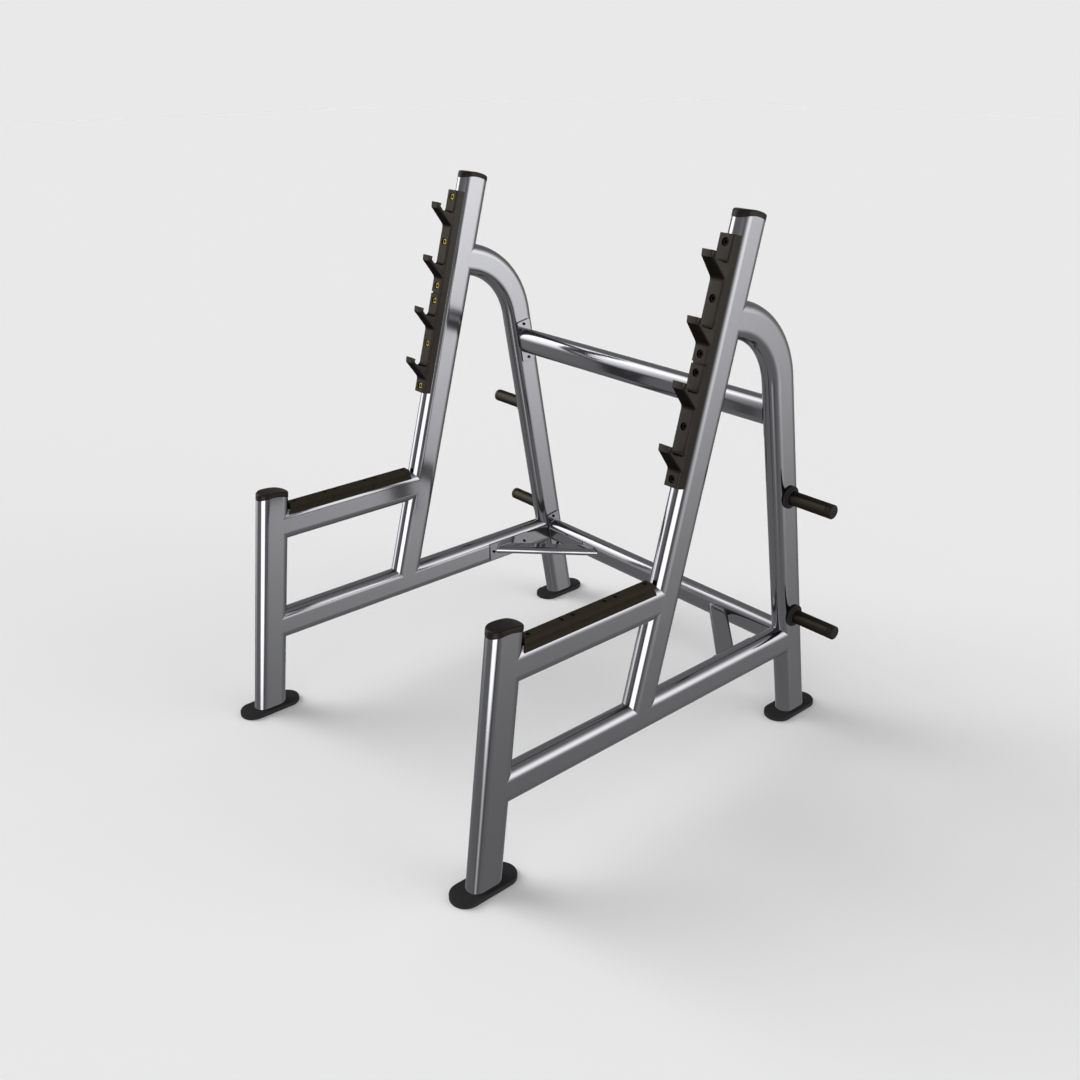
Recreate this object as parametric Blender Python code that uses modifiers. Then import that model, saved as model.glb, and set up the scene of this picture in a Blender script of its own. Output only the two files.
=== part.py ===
"""Squat stand: two side frames of flat-oval steel tube, joined by two cross beams and two corner braces.

Metres, +Z up. The origin is on the floor under the middle of the stand. The open front, where a lifter
steps in, faces -Y. The right-hand side frame is at +X. Each side frame stands in an upright plane and
has a short front post, two level rails, a leaning upright with bar hooks and a bent rear leg.
"""

from math import asin, atan2, cos, pi, radians, sin, sqrt, tan

import bmesh
import bpy
from mathutils import Matrix, Vector

# Fits and finishes
SEAT_GAP = 0.0003
CUT_MARGIN = 0.02
CUTTER_REACH = 1.5
MERGE_DISTANCE = 0.00001
SMOOTH_ANGLE = radians(30)
EDGE_ANGLE = radians(50)

# Steel tube of the side frames and the cross beams, a flat oval with half-round edges
TUBE_WIDTH = 0.0612
TUBE_DEPTH = 0.1083
RAIL_DEPTH = 0.1067
BEAM_WIDTH = 0.0600
BEAM_DEPTH = 0.0907
TUBE_WALL = 0.0030
ROUND_STEPS = 8
BORE_STEPS = 4

# Places of the side frames and of the feet on the floor
FRAME_SPACING = 1.1804
FOOT_SPACING = 1.3428
FOOT_LENGTH = 0.2127
FOOT_WIDTH = 0.0931
FOOT_THICKNESS = 0.0153
FOOT_EDGE_RADIUS = 0.0025
FOOT_STEPS = 12

# Level rails, heights of their middle lines
LOWER_RAIL_HEIGHT = 0.3037
SAFETY_RAIL_HEIGHT = 0.6594

# Front post, from the foot to the middle of its arched top end, which rises over the safety rail
POST_LEAN = radians(6.48)
POST_RISE = 0.10876
POST_LENGTH = (SAFETY_RAIL_HEIGHT - FOOT_THICKNESS) / cos(POST_LEAN) + POST_RISE

# Upright, from the middle line of the lower rail
UPRIGHT_FOOT_Y = -0.0976
UPRIGHT_LEAN = radians(14.56)
UPRIGHT_LENGTH = 1.4390

# Rear leg, which bends over into an arm square to the upright
LEG_LEAN = radians(10.54)
LEG_BEND_RADIUS = 0.2637
ARM_SEAT_LENGTH = 1.1692
BEND_STEPS = 10

# Crowned end caps of the posts and uprights
TUBE_END_ARCH = 0.125
CAP_CROWN_RADIUS = 0.200
CAP_RISE = 0.0159
CAP_OVERHANG = 0.0005
CAP_EDGE_RADIUS = 0.0025
CAP_PLUG_DEPTH = 0.0180
CAP_PLUG_WALL = 0.0025
CAP_PLUG_LAP = 0.0036
ARCH_STEPS = 8

# Hook castings: two on each upright, each a bar with two hooks
CASTING_LENGTH = 0.3405
CASTING_JOINT = 0.0065
CASTING_TOP_INSET = 0.0565
CASTING_WIDTH = 0.0525
CASTING_THICKNESS = 0.0194
CASTING_WRAP = 0.0122
CASTING_EDGE_RADIUS = 0.0065
CORNER_STEPS = 3
HOOK_SPACING = 0.1737
HOOK_TOP_INSET = 0.0495
HOOK_REACH = 0.0645
HOOK_WIDTH = 0.0475
HOOK_NOSE_HEIGHT = 0.0195
HOOK_ROOT_DROP = 0.0685
HOOK_EDGE_RADIUS = 0.0090
HOOK_FILLET_RADIUS = 0.0160
HOOK_TRIM = 0.0050
HOOK_SINK = 0.0006
LIP_THICKNESS = 0.0110
LIP_TOP_SLOPE = radians(6.3)
LIP_HEIGHT = 0.0115
LIP_SPREAD = 0.0015
RAMP_WIDTH = 0.0120
RAMP_HEIGHT = 0.0105
RAMP_RADIUS = 0.0040
LIP_ROOT_RADIUS = 0.0020
SADDLE_SLOPE = radians(7.0)
SADDLE_RADIUS = 0.0080
SADDLE_SHELF = 0.0016
COUNTERBORE_RADIUS = 0.0115
COUNTERBORE_DEPTH = 0.0090
COUNTERBORE_INSET = 0.0222
COUNTERBORE_STEPS = 16

# Rubber pads on the safety rails, three in a row
PAD_COUNT = 3
PAD_JOINT = 0.0010
PAD_FRONT_CLEARANCE = 0.0078
PAD_REAR_CLEARANCE = 0.0078
PAD_HEIGHT = 0.0131
PAD_WIDTH = 0.0334
PAD_EDGE_RADIUS = 0.0020
PAD_FLANGE = 0.0020
PAD_FLANGE_DROP = 0.0187
PAD_HOLE_RADIUS = 0.0040
PAD_HOLE_DEPTH = 0.0060
PAD_HOLE_INSET = 0.0193
PAD_HOLE_STEPS = 10

# Plate pegs on the rear legs
UPPER_PEG_HEIGHT = 0.8357
LOWER_PEG_HEIGHT = 0.3987
PEG_RADIUS = 0.0223
PEG_WALL = 0.0030
PEG_REACH = 0.1605
PEG_CAP_LENGTH = 0.0200
PEG_CAP_TIP_RADIUS = 0.0050
PEG_CAP_LAND = 0.0020
PEG_CAP_GROOVE = 0.0010
PEG_CAP_PLUG = 0.0150
PEG_STEPS = 24
COLLAR_FLANGE_RADIUS = 0.0360
COLLAR_FLANGE_WIDTH = 0.0070
COLLAR_HUB_RADIUS = 0.0300
COLLAR_HUB_WIDTH = 0.0050
COLLAR_EDGE = 0.0010

# Cross beams, their end plates and the corner braces
UPPER_BEAM_HEIGHT = 1.1056
FLANGE_WIDTH = 0.0580
FLANGE_HEIGHT = 0.1530
FLANGE_THICKNESS = 0.0055
FLANGE_CORNER_RADIUS = 0.0060
BRACE_WIDTH = 0.0605
BRACE_THICKNESS = 0.0280
BRACE_SETBACK = 0.2388
BRACE_PLATE_LENGTH = 0.1850
BRACE_PLATE_HEIGHT = 0.0680
BRACE_PLATE_THICKNESS = 0.0050
BRACE_PLATE_SHIFT = 0.0237
BRACE_PLATE_CORNER_RADIUS = 0.0040
BRACE_ANGLE = radians(45)

# Finishes as base colour, roughness and metallic value
PAINT = ((0.34, 0.34, 0.36), 0.34, 0.85)
CAST_IRON = ((0.055, 0.050, 0.045), 0.55, 0.30)
RUBBER = ((0.022, 0.021, 0.020), 0.70, 0.0)
PLASTIC = ((0.028, 0.025, 0.023), 0.45, 0.0)
PEG_FINISH = ((0.040, 0.036, 0.030), 0.38, 0.35)

# Side frames by name, with the sign of their X
SIDES = {"right": 1, "left": -1}

stand = bpy.data.collections.new("squat_stand")
cutters = bpy.data.collections.new("cutters")


def side_frame(y, z, lean):
    """A frame in a side frame's plane: Z runs up the tube, Y to its rear, leaned back by an angle."""
    return Matrix.Translation((0, y, z)) @ Matrix.Rotation(-lean, 4, "X")


def axes_frame(origin, x_axis, y_axis):
    """A frame from its origin and two of its axes."""
    x_axis = Vector(x_axis).normalized()
    y_axis = Vector(y_axis).normalized()
    z_axis = x_axis.cross(y_axis)
    frame = Matrix((x_axis, y_axis, z_axis)).transposed().to_4x4()
    frame.translation = Vector(origin)
    return frame


# The frame of outlines drawn in Y and Z and pulled along X, and those of the leaning tubes
ACROSS = axes_frame((0, 0, 0), (0, 1, 0), (0, 0, 1))
POST = side_frame(-FOOT_SPACING / 2, FOOT_THICKNESS, POST_LEAN)
LEG = side_frame(FOOT_SPACING / 2, FOOT_THICKNESS, -LEG_LEAN)
UPRIGHT = side_frame(UPRIGHT_FOOT_Y, LOWER_RAIL_HEIGHT, UPRIGHT_LEAN)


def centre_y(frame, z):
    """Where a leaning tube's middle line passes a height."""
    direction = frame.col[2]
    return frame.translation.y + direction.y / direction.z * (z - frame.translation.z)


def flat_oval(width, depth, steps):
    """Outline with straight sides and half-round ends, its depth along the second axis."""
    radius = width / 2
    centre = depth / 2 - radius
    points = []
    for end in (1, -1):
        for i in range(steps + 1):
            angle = pi * i / steps
            points.append((end * radius * cos(angle), end * (centre + radius * sin(angle))))
    return points


def arc(centre, radius, start, end, steps):
    """Points along an arc between two angles, both ends included."""
    u, v = centre
    angles = [start + (end - start) * i / steps for i in range(steps + 1)]
    return [(u + radius * cos(angle), v + radius * sin(angle)) for angle in angles]


def rounded(corners, steps=CORNER_STEPS):
    """A polygon's outline, each corner given as a point and the radius that rounds it."""
    points = []
    for i, (corner, radius) in enumerate(corners):
        here = Vector(corner)
        if radius == 0:
            points.append(tuple(here))
            continue
        before = (Vector(corners[i - 1][0]) - here).normalized()
        after = (Vector(corners[(i + 1) % len(corners)][0]) - here).normalized()
        half = before.angle(after) / 2
        centre = here + (before + after).normalized() * (radius / sin(half))
        first = here + before * (radius / tan(half)) - centre
        last = here + after * (radius / tan(half)) - centre
        start = atan2(first.y, first.x)
        turn = (atan2(last.y, last.x) - start + pi) % (2 * pi) - pi
        points += arc(tuple(centre), radius, start, start + turn, steps)
    return points


def rounded_rectangle(width, height, radius):
    """A rectangle about the origin with rounded corners."""
    w, h = width / 2, height / 2
    return rounded([((w, h), radius), ((-w, h), radius), ((-w, -h), radius), ((w, -h), radius)])


def object_on(name, mesh, frame, collection):
    """An object that carries a mesh in a frame."""
    piece = bpy.data.objects.new(name, mesh)
    collection.objects.link(piece)
    piece.matrix_world = frame
    return piece


def new_cutter(name, mesh, frame):
    """An object that only cuts or adds to others."""
    cutter = object_on(name, mesh, frame, cutters)
    cutter.hide_render = True
    cutter.display_type = "WIRE"
    return cutter


def mesh_from_curve(curve):
    """The closed mesh of a filled or beveled curve, which is then removed."""
    holder = bpy.data.objects.new(curve.name, curve)
    cutters.objects.link(holder)
    mesh = applied(holder)
    bpy.data.objects.remove(holder)
    return mesh


def new_spline(curve, outline, closed):
    """Adds straight-sided points to a curve."""
    spline = curve.splines.new("POLY")
    spline.points.add(len(outline) - 1)
    for point, (u, v) in zip(spline.points, outline):
        point.co = (u, v, 0, 1)
    spline.use_cyclic_u = closed


def prism(name, outlines, bottom, top):
    """Outlines filled and pulled from one height to another; an outline inside another is a bore."""
    curve = bpy.data.curves.new(name, "CURVE")
    curve.dimensions = "2D"
    curve.fill_mode = "BOTH"
    curve.extrude = (top - bottom) / 2
    for outline in outlines:
        new_spline(curve, outline, True)
    mesh = mesh_from_curve(curve)
    mesh.transform(Matrix.Translation((0, 0, (bottom + top) / 2)))
    return mesh


def sweep(name, outline, path):
    """An outline carried along a path that lies in one plane."""
    profile = bpy.data.curves.new(name + "_profile", "CURVE")
    profile.dimensions = "2D"
    profile.fill_mode = "NONE"
    new_spline(profile, outline, True)
    holder = bpy.data.objects.new(name + "_profile", profile)
    cutters.objects.link(holder)
    curve = bpy.data.curves.new(name, "CURVE")
    curve.dimensions = "2D"
    curve.bevel_mode = "OBJECT"
    curve.bevel_object = holder
    curve.use_fill_caps = True
    new_spline(curve, path, False)
    mesh = mesh_from_curve(curve)
    bpy.data.objects.remove(holder)
    return mesh


def loft(name, rings):
    """A closed skin over sections that have the same number of points."""
    shape = bmesh.new()
    loops = [[shape.verts.new(point) for point in ring] for ring in rings]
    for low, high in zip(loops, loops[1:]):
        for i in range(len(low)):
            shape.faces.new((low[i - 1], low[i], high[i], high[i - 1]))
    shape.faces.new(loops[0])
    shape.faces.new(loops[-1])
    bmesh.ops.recalc_face_normals(shape, faces=shape.faces)
    mesh = bpy.data.meshes.new(name)
    shape.to_mesh(mesh)
    shape.free()
    return mesh


def turned(name, profile, closed):
    """A profile of radius and height turned about Z; it runs down the outer side."""
    mesh = bpy.data.meshes.new(name)
    edges = [(i, i + 1) for i in range(len(profile) - 1)]
    if closed:
        edges.append((len(profile) - 1, 0))
    mesh.from_pydata([(r, 0, z) for r, z in profile], edges, [])
    holder = bpy.data.objects.new(name, mesh)
    cutters.objects.link(holder)
    screw = holder.modifiers.new("turn", "SCREW")
    screw.steps = PEG_STEPS
    screw.render_steps = PEG_STEPS
    screw.use_merge_vertices = True
    screw.merge_threshold = MERGE_DISTANCE
    result = applied(holder)
    bpy.data.objects.remove(holder)
    return result


def welded(mesh):
    """A mesh with its loose seams joined and its faces pointing out."""
    shape = bmesh.new()
    shape.from_mesh(mesh)
    bmesh.ops.remove_doubles(shape, verts=shape.verts, dist=MERGE_DISTANCE)
    bmesh.ops.dissolve_degenerate(shape, edges=shape.edges, dist=MERGE_DISTANCE / 10)
    bmesh.ops.recalc_face_normals(shape, faces=shape.faces)
    shape.to_mesh(mesh)
    shape.free()
    return mesh


def applied(piece):
    """The mesh of an object as its modifiers leave it."""
    depsgraph = bpy.context.evaluated_depsgraph_get()
    return welded(bpy.data.meshes.new_from_object(piece.evaluated_get(depsgraph)))


def combined(mesh, steps, frame=Matrix.Identity(4)):
    """A mesh cut by, joined to or kept inside others, in order."""
    piece = object_on(mesh.name, mesh, frame, cutters)
    for operation, cutter in steps:
        boolean = piece.modifiers.new(cutter.name, "BOOLEAN")
        boolean.operation = operation
        boolean.solver = "EXACT"
        boolean.object = cutter
    result = applied(piece)
    bpy.data.objects.remove(piece)
    return result


def round_edges(mesh, width, segments, chosen):
    """Rounds the sharp edges that a test picks by their two ends."""
    shape = bmesh.new()
    shape.from_mesh(mesh)
    edges = [
        edge for edge in shape.edges
        if edge.calc_face_angle(0) > EDGE_ANGLE and all(chosen(vertex.co) for vertex in edge.verts)
    ]
    bmesh.ops.bevel(
        shape, geom=edges, offset=width, segments=segments, profile=0.5, affect="EDGES", clamp_overlap=True
    )
    bmesh.ops.recalc_face_normals(shape, faces=shape.faces)
    shape.to_mesh(mesh)
    shape.free()


def new_material(name, finish):
    """A Principled material from a finish."""
    colour, roughness, metallic = finish
    material = bpy.data.materials.new(name)
    material.use_nodes = True
    material.diffuse_color = (*colour, 1)
    shader = material.node_tree.nodes["Principled BSDF"]
    shader.inputs["Base Color"].default_value = (*colour, 1)
    shader.inputs["Roughness"].default_value = roughness
    shader.inputs["Metallic"].default_value = metallic
    return material


def place(name, mesh, frame, finish, parent):
    """Puts a copy of a finished mesh in the stand as a piece of its own."""
    own = mesh.copy()
    own.name = name
    own.materials.clear()
    own.materials.append(new_material(name + "_finish", finish))
    own.shade_smooth()
    own.set_sharp_from_angle(angle=SMOOTH_ANGLE)
    piece = bpy.data.objects.new(name, own)
    stand.objects.link(piece)
    piece.parent = parent
    piece.matrix_local = frame
    return piece


def place_pair(name, mesh, frame, finish, frames):
    """One copy in each side frame."""
    for side in SIDES:
        place(f"{side}_{name}", mesh, frame, finish, frames[side])


def tube_outlines(width, depth):
    """The outside and the bore of a tube."""
    bore = flat_oval(width - 2 * TUBE_WALL, depth - 2 * TUBE_WALL, BORE_STEPS)
    return [flat_oval(width, depth, ROUND_STEPS), bore]


def tube_space(name, frame, depth, bottom, top):
    """A cutter that clears a side frame's tube and its seat gap."""
    outline = flat_oval(TUBE_WIDTH + 2 * SEAT_GAP, depth + 2 * SEAT_GAP, ROUND_STEPS)
    return new_cutter(name, prism(name, [outline], bottom, top), frame)


def arch_drop(radius, reach):
    """How far an arch falls between its middle and a point to one side."""
    return radius - sqrt(radius * radius - reach * reach)


def arch(radius, peak, reach, steps=ARCH_STEPS):
    """Points of an arch from front to rear, its highest point in the middle."""
    half = atan2(reach, sqrt(radius * radius - reach * reach))
    return arc((0, peak - radius), radius, pi / 2 + half, pi / 2 - half, steps)


def arch_cutter(name, frame, peak):
    """A cutter that trims a tube's top end to an arch across its depth."""
    reach = TUBE_DEPTH / 2 + CUT_MARGIN
    high = peak + CUT_MARGIN
    outline = arch(TUBE_END_ARCH, peak, reach) + [(reach, high), (-reach, high)]
    mesh = prism(name, [outline], -TUBE_WIDTH, TUBE_WIDTH)
    return new_cutter(name, mesh, frame @ ACROSS)


def floor_cutter():
    """A cutter that trims a post or leg level with the top of its foot."""
    outline = rounded_rectangle(2 * CUTTER_REACH, 2 * CUTTER_REACH, 0)
    ground = prism("floor", [outline], -CUTTER_REACH, FOOT_THICKNESS + SEAT_GAP)
    return new_cutter("floor", ground, Matrix.Identity(4))


def rail_frame(height):
    """A frame whose Z runs to the rear along a level rail's middle line."""
    return side_frame(0, height, pi / 2)


def leg_line():
    """The rear leg's middle line in Y and Z, with the arc that turns it square to the upright."""
    foot = LEG.translation.yz
    rise = LEG.col[2].yz
    seat = (UPRIGHT @ Vector((0, 0, ARM_SEAT_LENGTH))).yz
    out = UPRIGHT.col[1].yz
    span = seat - foot
    knee = foot + rise * (span.cross(out) / rise.cross(out))
    half = rise.angle(-out) / 2
    centre = knee - (rise + out).normalized() * (LEG_BEND_RADIUS / cos(half))
    first = knee - rise * (LEG_BEND_RADIUS * tan(half)) - centre
    last = knee - out * (LEG_BEND_RADIUS * tan(half)) - centre
    start = atan2(first.y, first.x)
    bend = arc(tuple(centre), LEG_BEND_RADIUS, start, atan2(last.y, last.x), BEND_STEPS)
    return foot, rise, bend, seat, out


def leg_skin(name, width, depth, steps, extra):
    """A flat oval carried along the rear leg's middle line, run on past both ends."""
    foot, rise, bend, seat, out = leg_line()
    low = foot - rise * (FOOT_LENGTH / 2 + extra)
    high = seat - out * extra
    section = [(v, u) for u, v in flat_oval(width, depth, steps)]
    return sweep(name, section, [tuple(low)] + bend + [tuple(high)])


def build_leg(upright_space, floor):
    """The bent rear leg: skin less bore, trimmed on its foot and coped round the upright."""
    skin = leg_skin("rear_leg", TUBE_WIDTH, TUBE_DEPTH, ROUND_STEPS, 0)
    inside = leg_skin("bore", TUBE_WIDTH - 2 * TUBE_WALL, TUBE_DEPTH - 2 * TUBE_WALL, BORE_STEPS, CUT_MARGIN)
    bore = new_cutter("leg_bore", inside, ACROSS)
    steps = [("DIFFERENCE", bore), ("DIFFERENCE", floor), ("DIFFERENCE", upright_space)]
    return combined(skin, steps, ACROSS)


def build_tube(name, frame, depth, bottom, top, steps):
    """A straight tube along a frame's Z with its ends trimmed."""
    mesh = prism(name, tube_outlines(TUBE_WIDTH, depth), bottom, top)
    return combined(mesh, [("DIFFERENCE", cutter) for cutter in steps], frame)


def build_cap(name, peak):
    """A moulded cap: a crowned head on the tube's arched end and a plug inside its bore."""
    reach = TUBE_DEPTH / 2 + CAP_OVERHANG
    side = reach + CUT_MARGIN
    low = arch(TUBE_END_ARCH + SEAT_GAP, peak + SEAT_GAP, side)
    high = arch(CAP_CROWN_RADIUS, peak + CAP_RISE, side)
    band = prism("band", [low + high[::-1]], -TUBE_WIDTH, TUBE_WIDTH)
    outline = flat_oval(TUBE_WIDTH + 2 * CAP_OVERHANG, 2 * reach, ROUND_STEPS)
    bottom = peak - arch_drop(TUBE_END_ARCH, reach) - CUT_MARGIN
    head = prism(name, [outline], bottom, peak + CAP_RISE + CUT_MARGIN)
    head = combined(head, [("INTERSECT", new_cutter(name + "_band", band, ACROSS))])
    crown = peak + CAP_RISE - CAP_CROWN_RADIUS
    round_edges(
        head, CAP_EDGE_RADIUS, 2,
        lambda point: abs(Vector((point.y, point.z - crown)).length - CAP_CROWN_RADIUS) < CAP_EDGE_RADIUS / 4
    )
    inset = 2 * (TUBE_WALL + SEAT_GAP)
    plug_outlines = [
        flat_oval(TUBE_WIDTH - inset, TUBE_DEPTH - inset, BORE_STEPS),
        flat_oval(TUBE_WIDTH - inset - 2 * CAP_PLUG_WALL, TUBE_DEPTH - inset - 2 * CAP_PLUG_WALL, BORE_STEPS),
    ]
    plug_bottom = peak - arch_drop(TUBE_END_ARCH, reach) - CAP_PLUG_DEPTH
    plug = prism("plug", plug_outlines, plug_bottom, peak + CAP_PLUG_LAP)
    return combined(head, [("UNION", new_cutter(name + "_plug", plug, Matrix.Identity(4)))])


def casting_section(width, front, radius):
    """A casting's level section: square at the back, its two front edges rounded, front towards -Y."""
    half = width / 2
    back = -(TUBE_DEPTH / 2 - CASTING_WRAP)
    right = arc((half - radius, radius - front), radius, 0, -pi / 2, CORNER_STEPS)
    left = [(-u, v) for u, v in reversed(right)]
    return [(half, back)] + right + left + [(-half, back)]


def hook_block(top):
    """One hook before its saddle is cut: a nose that slopes back into the bar with a fillet."""
    face = TUBE_DEPTH / 2 + CASTING_THICKNESS
    reach = face + HOOK_REACH
    lip_top = top - HOOK_TOP_INSET
    nose_bottom = lip_top - HOOK_NOSE_HEIGHT
    root = lip_top - HOOK_ROOT_DROP
    slope = atan2(HOOK_REACH, nose_bottom - root)
    tangent = HOOK_FILLET_RADIUS * tan(slope / 2)
    stations = [(lip_top + HOOK_TRIM, reach), (nose_bottom, reach)]
    centre = (root - tangent, face + HOOK_FILLET_RADIUS)
    fillet = arc(centre, HOOK_FILLET_RADIUS, -pi / 2 + slope, -pi / 2, ARCH_STEPS // 2)
    stations += [(z, front) for z, front in fillet]
    stations.append((root - tangent - CASTING_EDGE_RADIUS, face - HOOK_SINK))
    rings = []
    for z, front in stations:
        share = min(1, max(0, (front - face) / HOOK_REACH))
        width = CASTING_WIDTH + share * (HOOK_WIDTH - CASTING_WIDTH)
        radius = CASTING_EDGE_RADIUS + share * (HOOK_EDGE_RADIUS - CASTING_EDGE_RADIUS)
        section = casting_section(width, front, radius)
        rings.append([(u, v, z) for u, v in section])
    return loft("hook", rings)


def saddle_cutter(top):
    """The pocket between a hook's lip and the bar, with a sloped floor and a round corner."""
    face = TUBE_DEPTH / 2 + CASTING_THICKNESS
    lip_top = top - HOOK_TOP_INSET
    outer = face + HOOK_REACH
    inner = outer - LIP_THICKNESS
    lip_inner = lip_top - LIP_THICKNESS * tan(LIP_TOP_SLOPE)
    far = outer + CUT_MARGIN
    near = face - CUT_MARGIN
    ramp_top = (inner + LIP_SPREAD, lip_inner - LIP_HEIGHT + LIP_SPREAD)
    ramp_foot = (ramp_top[0] - RAMP_WIDTH, ramp_top[1] - RAMP_HEIGHT)
    floor_end = (face, ramp_foot[1] - (ramp_foot[0] - face) * tan(SADDLE_SLOPE))
    shelf = floor_end[1] + SADDLE_RADIUS + SADDLE_SHELF
    corners = [
        ((near, lip_top + CUT_MARGIN), 0),
        ((near, shelf), 0),
        ((face, shelf), 0),
        (floor_end, SADDLE_RADIUS),
        (ramp_foot, RAMP_RADIUS),
        (ramp_top, LIP_ROOT_RADIUS),
        ((inner, lip_inner), 0),
        ((far, lip_top + CUT_MARGIN * tan(LIP_TOP_SLOPE)), 0),
        ((far, lip_top + CUT_MARGIN), 0),
    ]
    outline = [(-front, z) for front, z in rounded(corners)]
    return new_cutter("saddle", prism("saddle", [outline], -CASTING_WIDTH, CASTING_WIDTH), ACROSS)


def build_casting(tube_space_cutter):
    """A bar with two hooks, hollowed at the back to sit on the upright's round front edge."""
    face = TUBE_DEPTH / 2 + CASTING_THICKNESS
    section = casting_section(CASTING_WIDTH, face, CASTING_EDGE_RADIUS)
    bar = prism("hook_casting", [section], -CASTING_LENGTH / 2, CASTING_LENGTH / 2)
    steps = []
    for top in (CASTING_LENGTH / 2, CASTING_LENGTH / 2 - HOOK_SPACING):
        hook = combined(hook_block(top), [("DIFFERENCE", saddle_cutter(top))])
        steps.append(("UNION", new_cutter("hook", hook, Matrix.Identity(4))))
    steps.append(("DIFFERENCE", tube_space_cutter))
    sink = prism("sink", [arc((0, 0), COUNTERBORE_RADIUS, 0, 2 * pi, COUNTERBORE_STEPS)[:-1]],
                 face - COUNTERBORE_DEPTH, face + CUT_MARGIN)
    for z in (-1, 0, 1):
        place_z = z * (CASTING_LENGTH / 2 - COUNTERBORE_INSET)
        frame = axes_frame((0, 0, place_z), (1, 0, 0), (0, 0, 1))
        steps.append(("DIFFERENCE", new_cutter("sink", sink, frame)))
    return combined(bar, steps)


def pad_section():
    """A pad's outline: a raised block on a thin flange that hugs the rail's rounded top."""
    inner = TUBE_WIDTH / 2 + SEAT_GAP
    outer = inner + PAD_FLANGE
    centre = (0, RAIL_DEPTH / 2 - TUBE_WIDTH / 2)
    top = RAIL_DEPTH / 2 + PAD_HEIGHT
    end = asin((TUBE_WIDTH / 2 - PAD_FLANGE_DROP) / inner)
    root = atan2(sqrt(outer * outer - PAD_WIDTH * PAD_WIDTH / 4), PAD_WIDTH / 2)
    corner = (PAD_WIDTH / 2 - PAD_EDGE_RADIUS, top - PAD_EDGE_RADIUS)
    right = arc(centre, outer, end, root, CORNER_STEPS)
    right += arc(corner, PAD_EDGE_RADIUS, 0, pi / 2, CORNER_STEPS)
    left = [(-u, v) for u, v in reversed(right)]
    return right + left + arc(centre, inner, pi - end, end, ROUND_STEPS)


def pad_span():
    """Where the row of pads starts and ends along the safety rail."""
    top = SAFETY_RAIL_HEIGHT + RAIL_DEPTH / 2 + PAD_HEIGHT
    skirt = SAFETY_RAIL_HEIGHT + RAIL_DEPTH / 2 - PAD_FLANGE_DROP
    post_face = centre_y(POST, top) + TUBE_DEPTH / 2 / cos(POST_LEAN)
    upright_face = centre_y(UPRIGHT, skirt) - TUBE_DEPTH / 2 / cos(UPRIGHT_LEAN)
    return post_face + PAD_FRONT_CLEARANCE, upright_face - PAD_REAR_CLEARANCE


def build_pad(length):
    """A pad with a screw hole near each end."""
    top = RAIL_DEPTH / 2 + PAD_HEIGHT
    mesh = prism("pad", [pad_section()], -length / 2, length / 2)
    circle = arc((0, 0), PAD_HOLE_RADIUS, 0, 2 * pi, PAD_HOLE_STEPS)[:-1]
    hole = prism("hole", [circle], top - PAD_HOLE_DEPTH, top + CUT_MARGIN)
    steps = []
    for end in (-1, 1):
        frame = Matrix.Translation((0, 0, end * (length / 2 - PAD_HOLE_INSET))) @ axes_frame(
            (0, 0, 0), (1, 0, 0), (0, 0, -1)
        )
        steps.append(("DIFFERENCE", new_cutter("pad_hole", hole, frame)))
    return combined(mesh, steps)


def build_foot():
    """A flat rubber foot with rounded edges."""
    mesh = prism("foot", [flat_oval(FOOT_WIDTH, FOOT_LENGTH, FOOT_STEPS)], 0, FOOT_THICKNESS)
    round_edges(mesh, FOOT_EDGE_RADIUS, 1, lambda point: True)
    return mesh


def build_peg():
    """The peg's tube, from the leg's face to its end cap."""
    bore = PEG_RADIUS - PEG_WALL
    end = PEG_REACH - PEG_CAP_LENGTH - SEAT_GAP
    return turned("peg", [(PEG_RADIUS, end), (PEG_RADIUS, SEAT_GAP), (bore, SEAT_GAP), (bore, end)], True)


def build_collar():
    """The stop ring that plates rest against: a wide flange and a narrower hub."""
    bore = PEG_RADIUS + SEAT_GAP
    hub_top = SEAT_GAP + COLLAR_FLANGE_WIDTH + COLLAR_HUB_WIDTH
    flange_top = SEAT_GAP + COLLAR_FLANGE_WIDTH
    profile = [
        (bore, hub_top),
        (COLLAR_HUB_RADIUS - COLLAR_EDGE, hub_top),
        (COLLAR_HUB_RADIUS, hub_top - COLLAR_EDGE),
        (COLLAR_HUB_RADIUS, flange_top),
        (COLLAR_FLANGE_RADIUS - COLLAR_EDGE, flange_top),
        (COLLAR_FLANGE_RADIUS, flange_top - COLLAR_EDGE),
        (COLLAR_FLANGE_RADIUS, SEAT_GAP),
        (bore, SEAT_GAP),
    ]
    return turned("peg_collar", profile, True)


def build_peg_cap():
    """The peg's end cap: a grooved head with a round tip and a plug in the bore."""
    base = PEG_REACH - PEG_CAP_LENGTH
    plug = PEG_RADIUS - PEG_WALL - SEAT_GAP
    tip = arc((PEG_RADIUS - PEG_CAP_TIP_RADIUS, PEG_REACH - PEG_CAP_TIP_RADIUS), PEG_CAP_TIP_RADIUS,
              pi / 2, 0, CORNER_STEPS)
    groove = base + PEG_CAP_LAND
    profile = [(0, PEG_REACH)] + tip + [
        (PEG_RADIUS, groove + 2 * PEG_CAP_GROOVE),
        (PEG_RADIUS - PEG_CAP_GROOVE, groove + PEG_CAP_GROOVE),
        (PEG_RADIUS, groove),
        (PEG_RADIUS, base),
        (plug, base),
        (plug, base - PEG_CAP_PLUG),
        (0, base - PEG_CAP_PLUG),
    ]
    return turned("peg_cap", profile, False)


def plate(name, length, height, thickness, radius):
    """A flat plate with rounded corners, its back on the frame's plane and its face up Z."""
    return prism(name, [rounded_rectangle(length, height, radius)], SEAT_GAP, SEAT_GAP + thickness)


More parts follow.
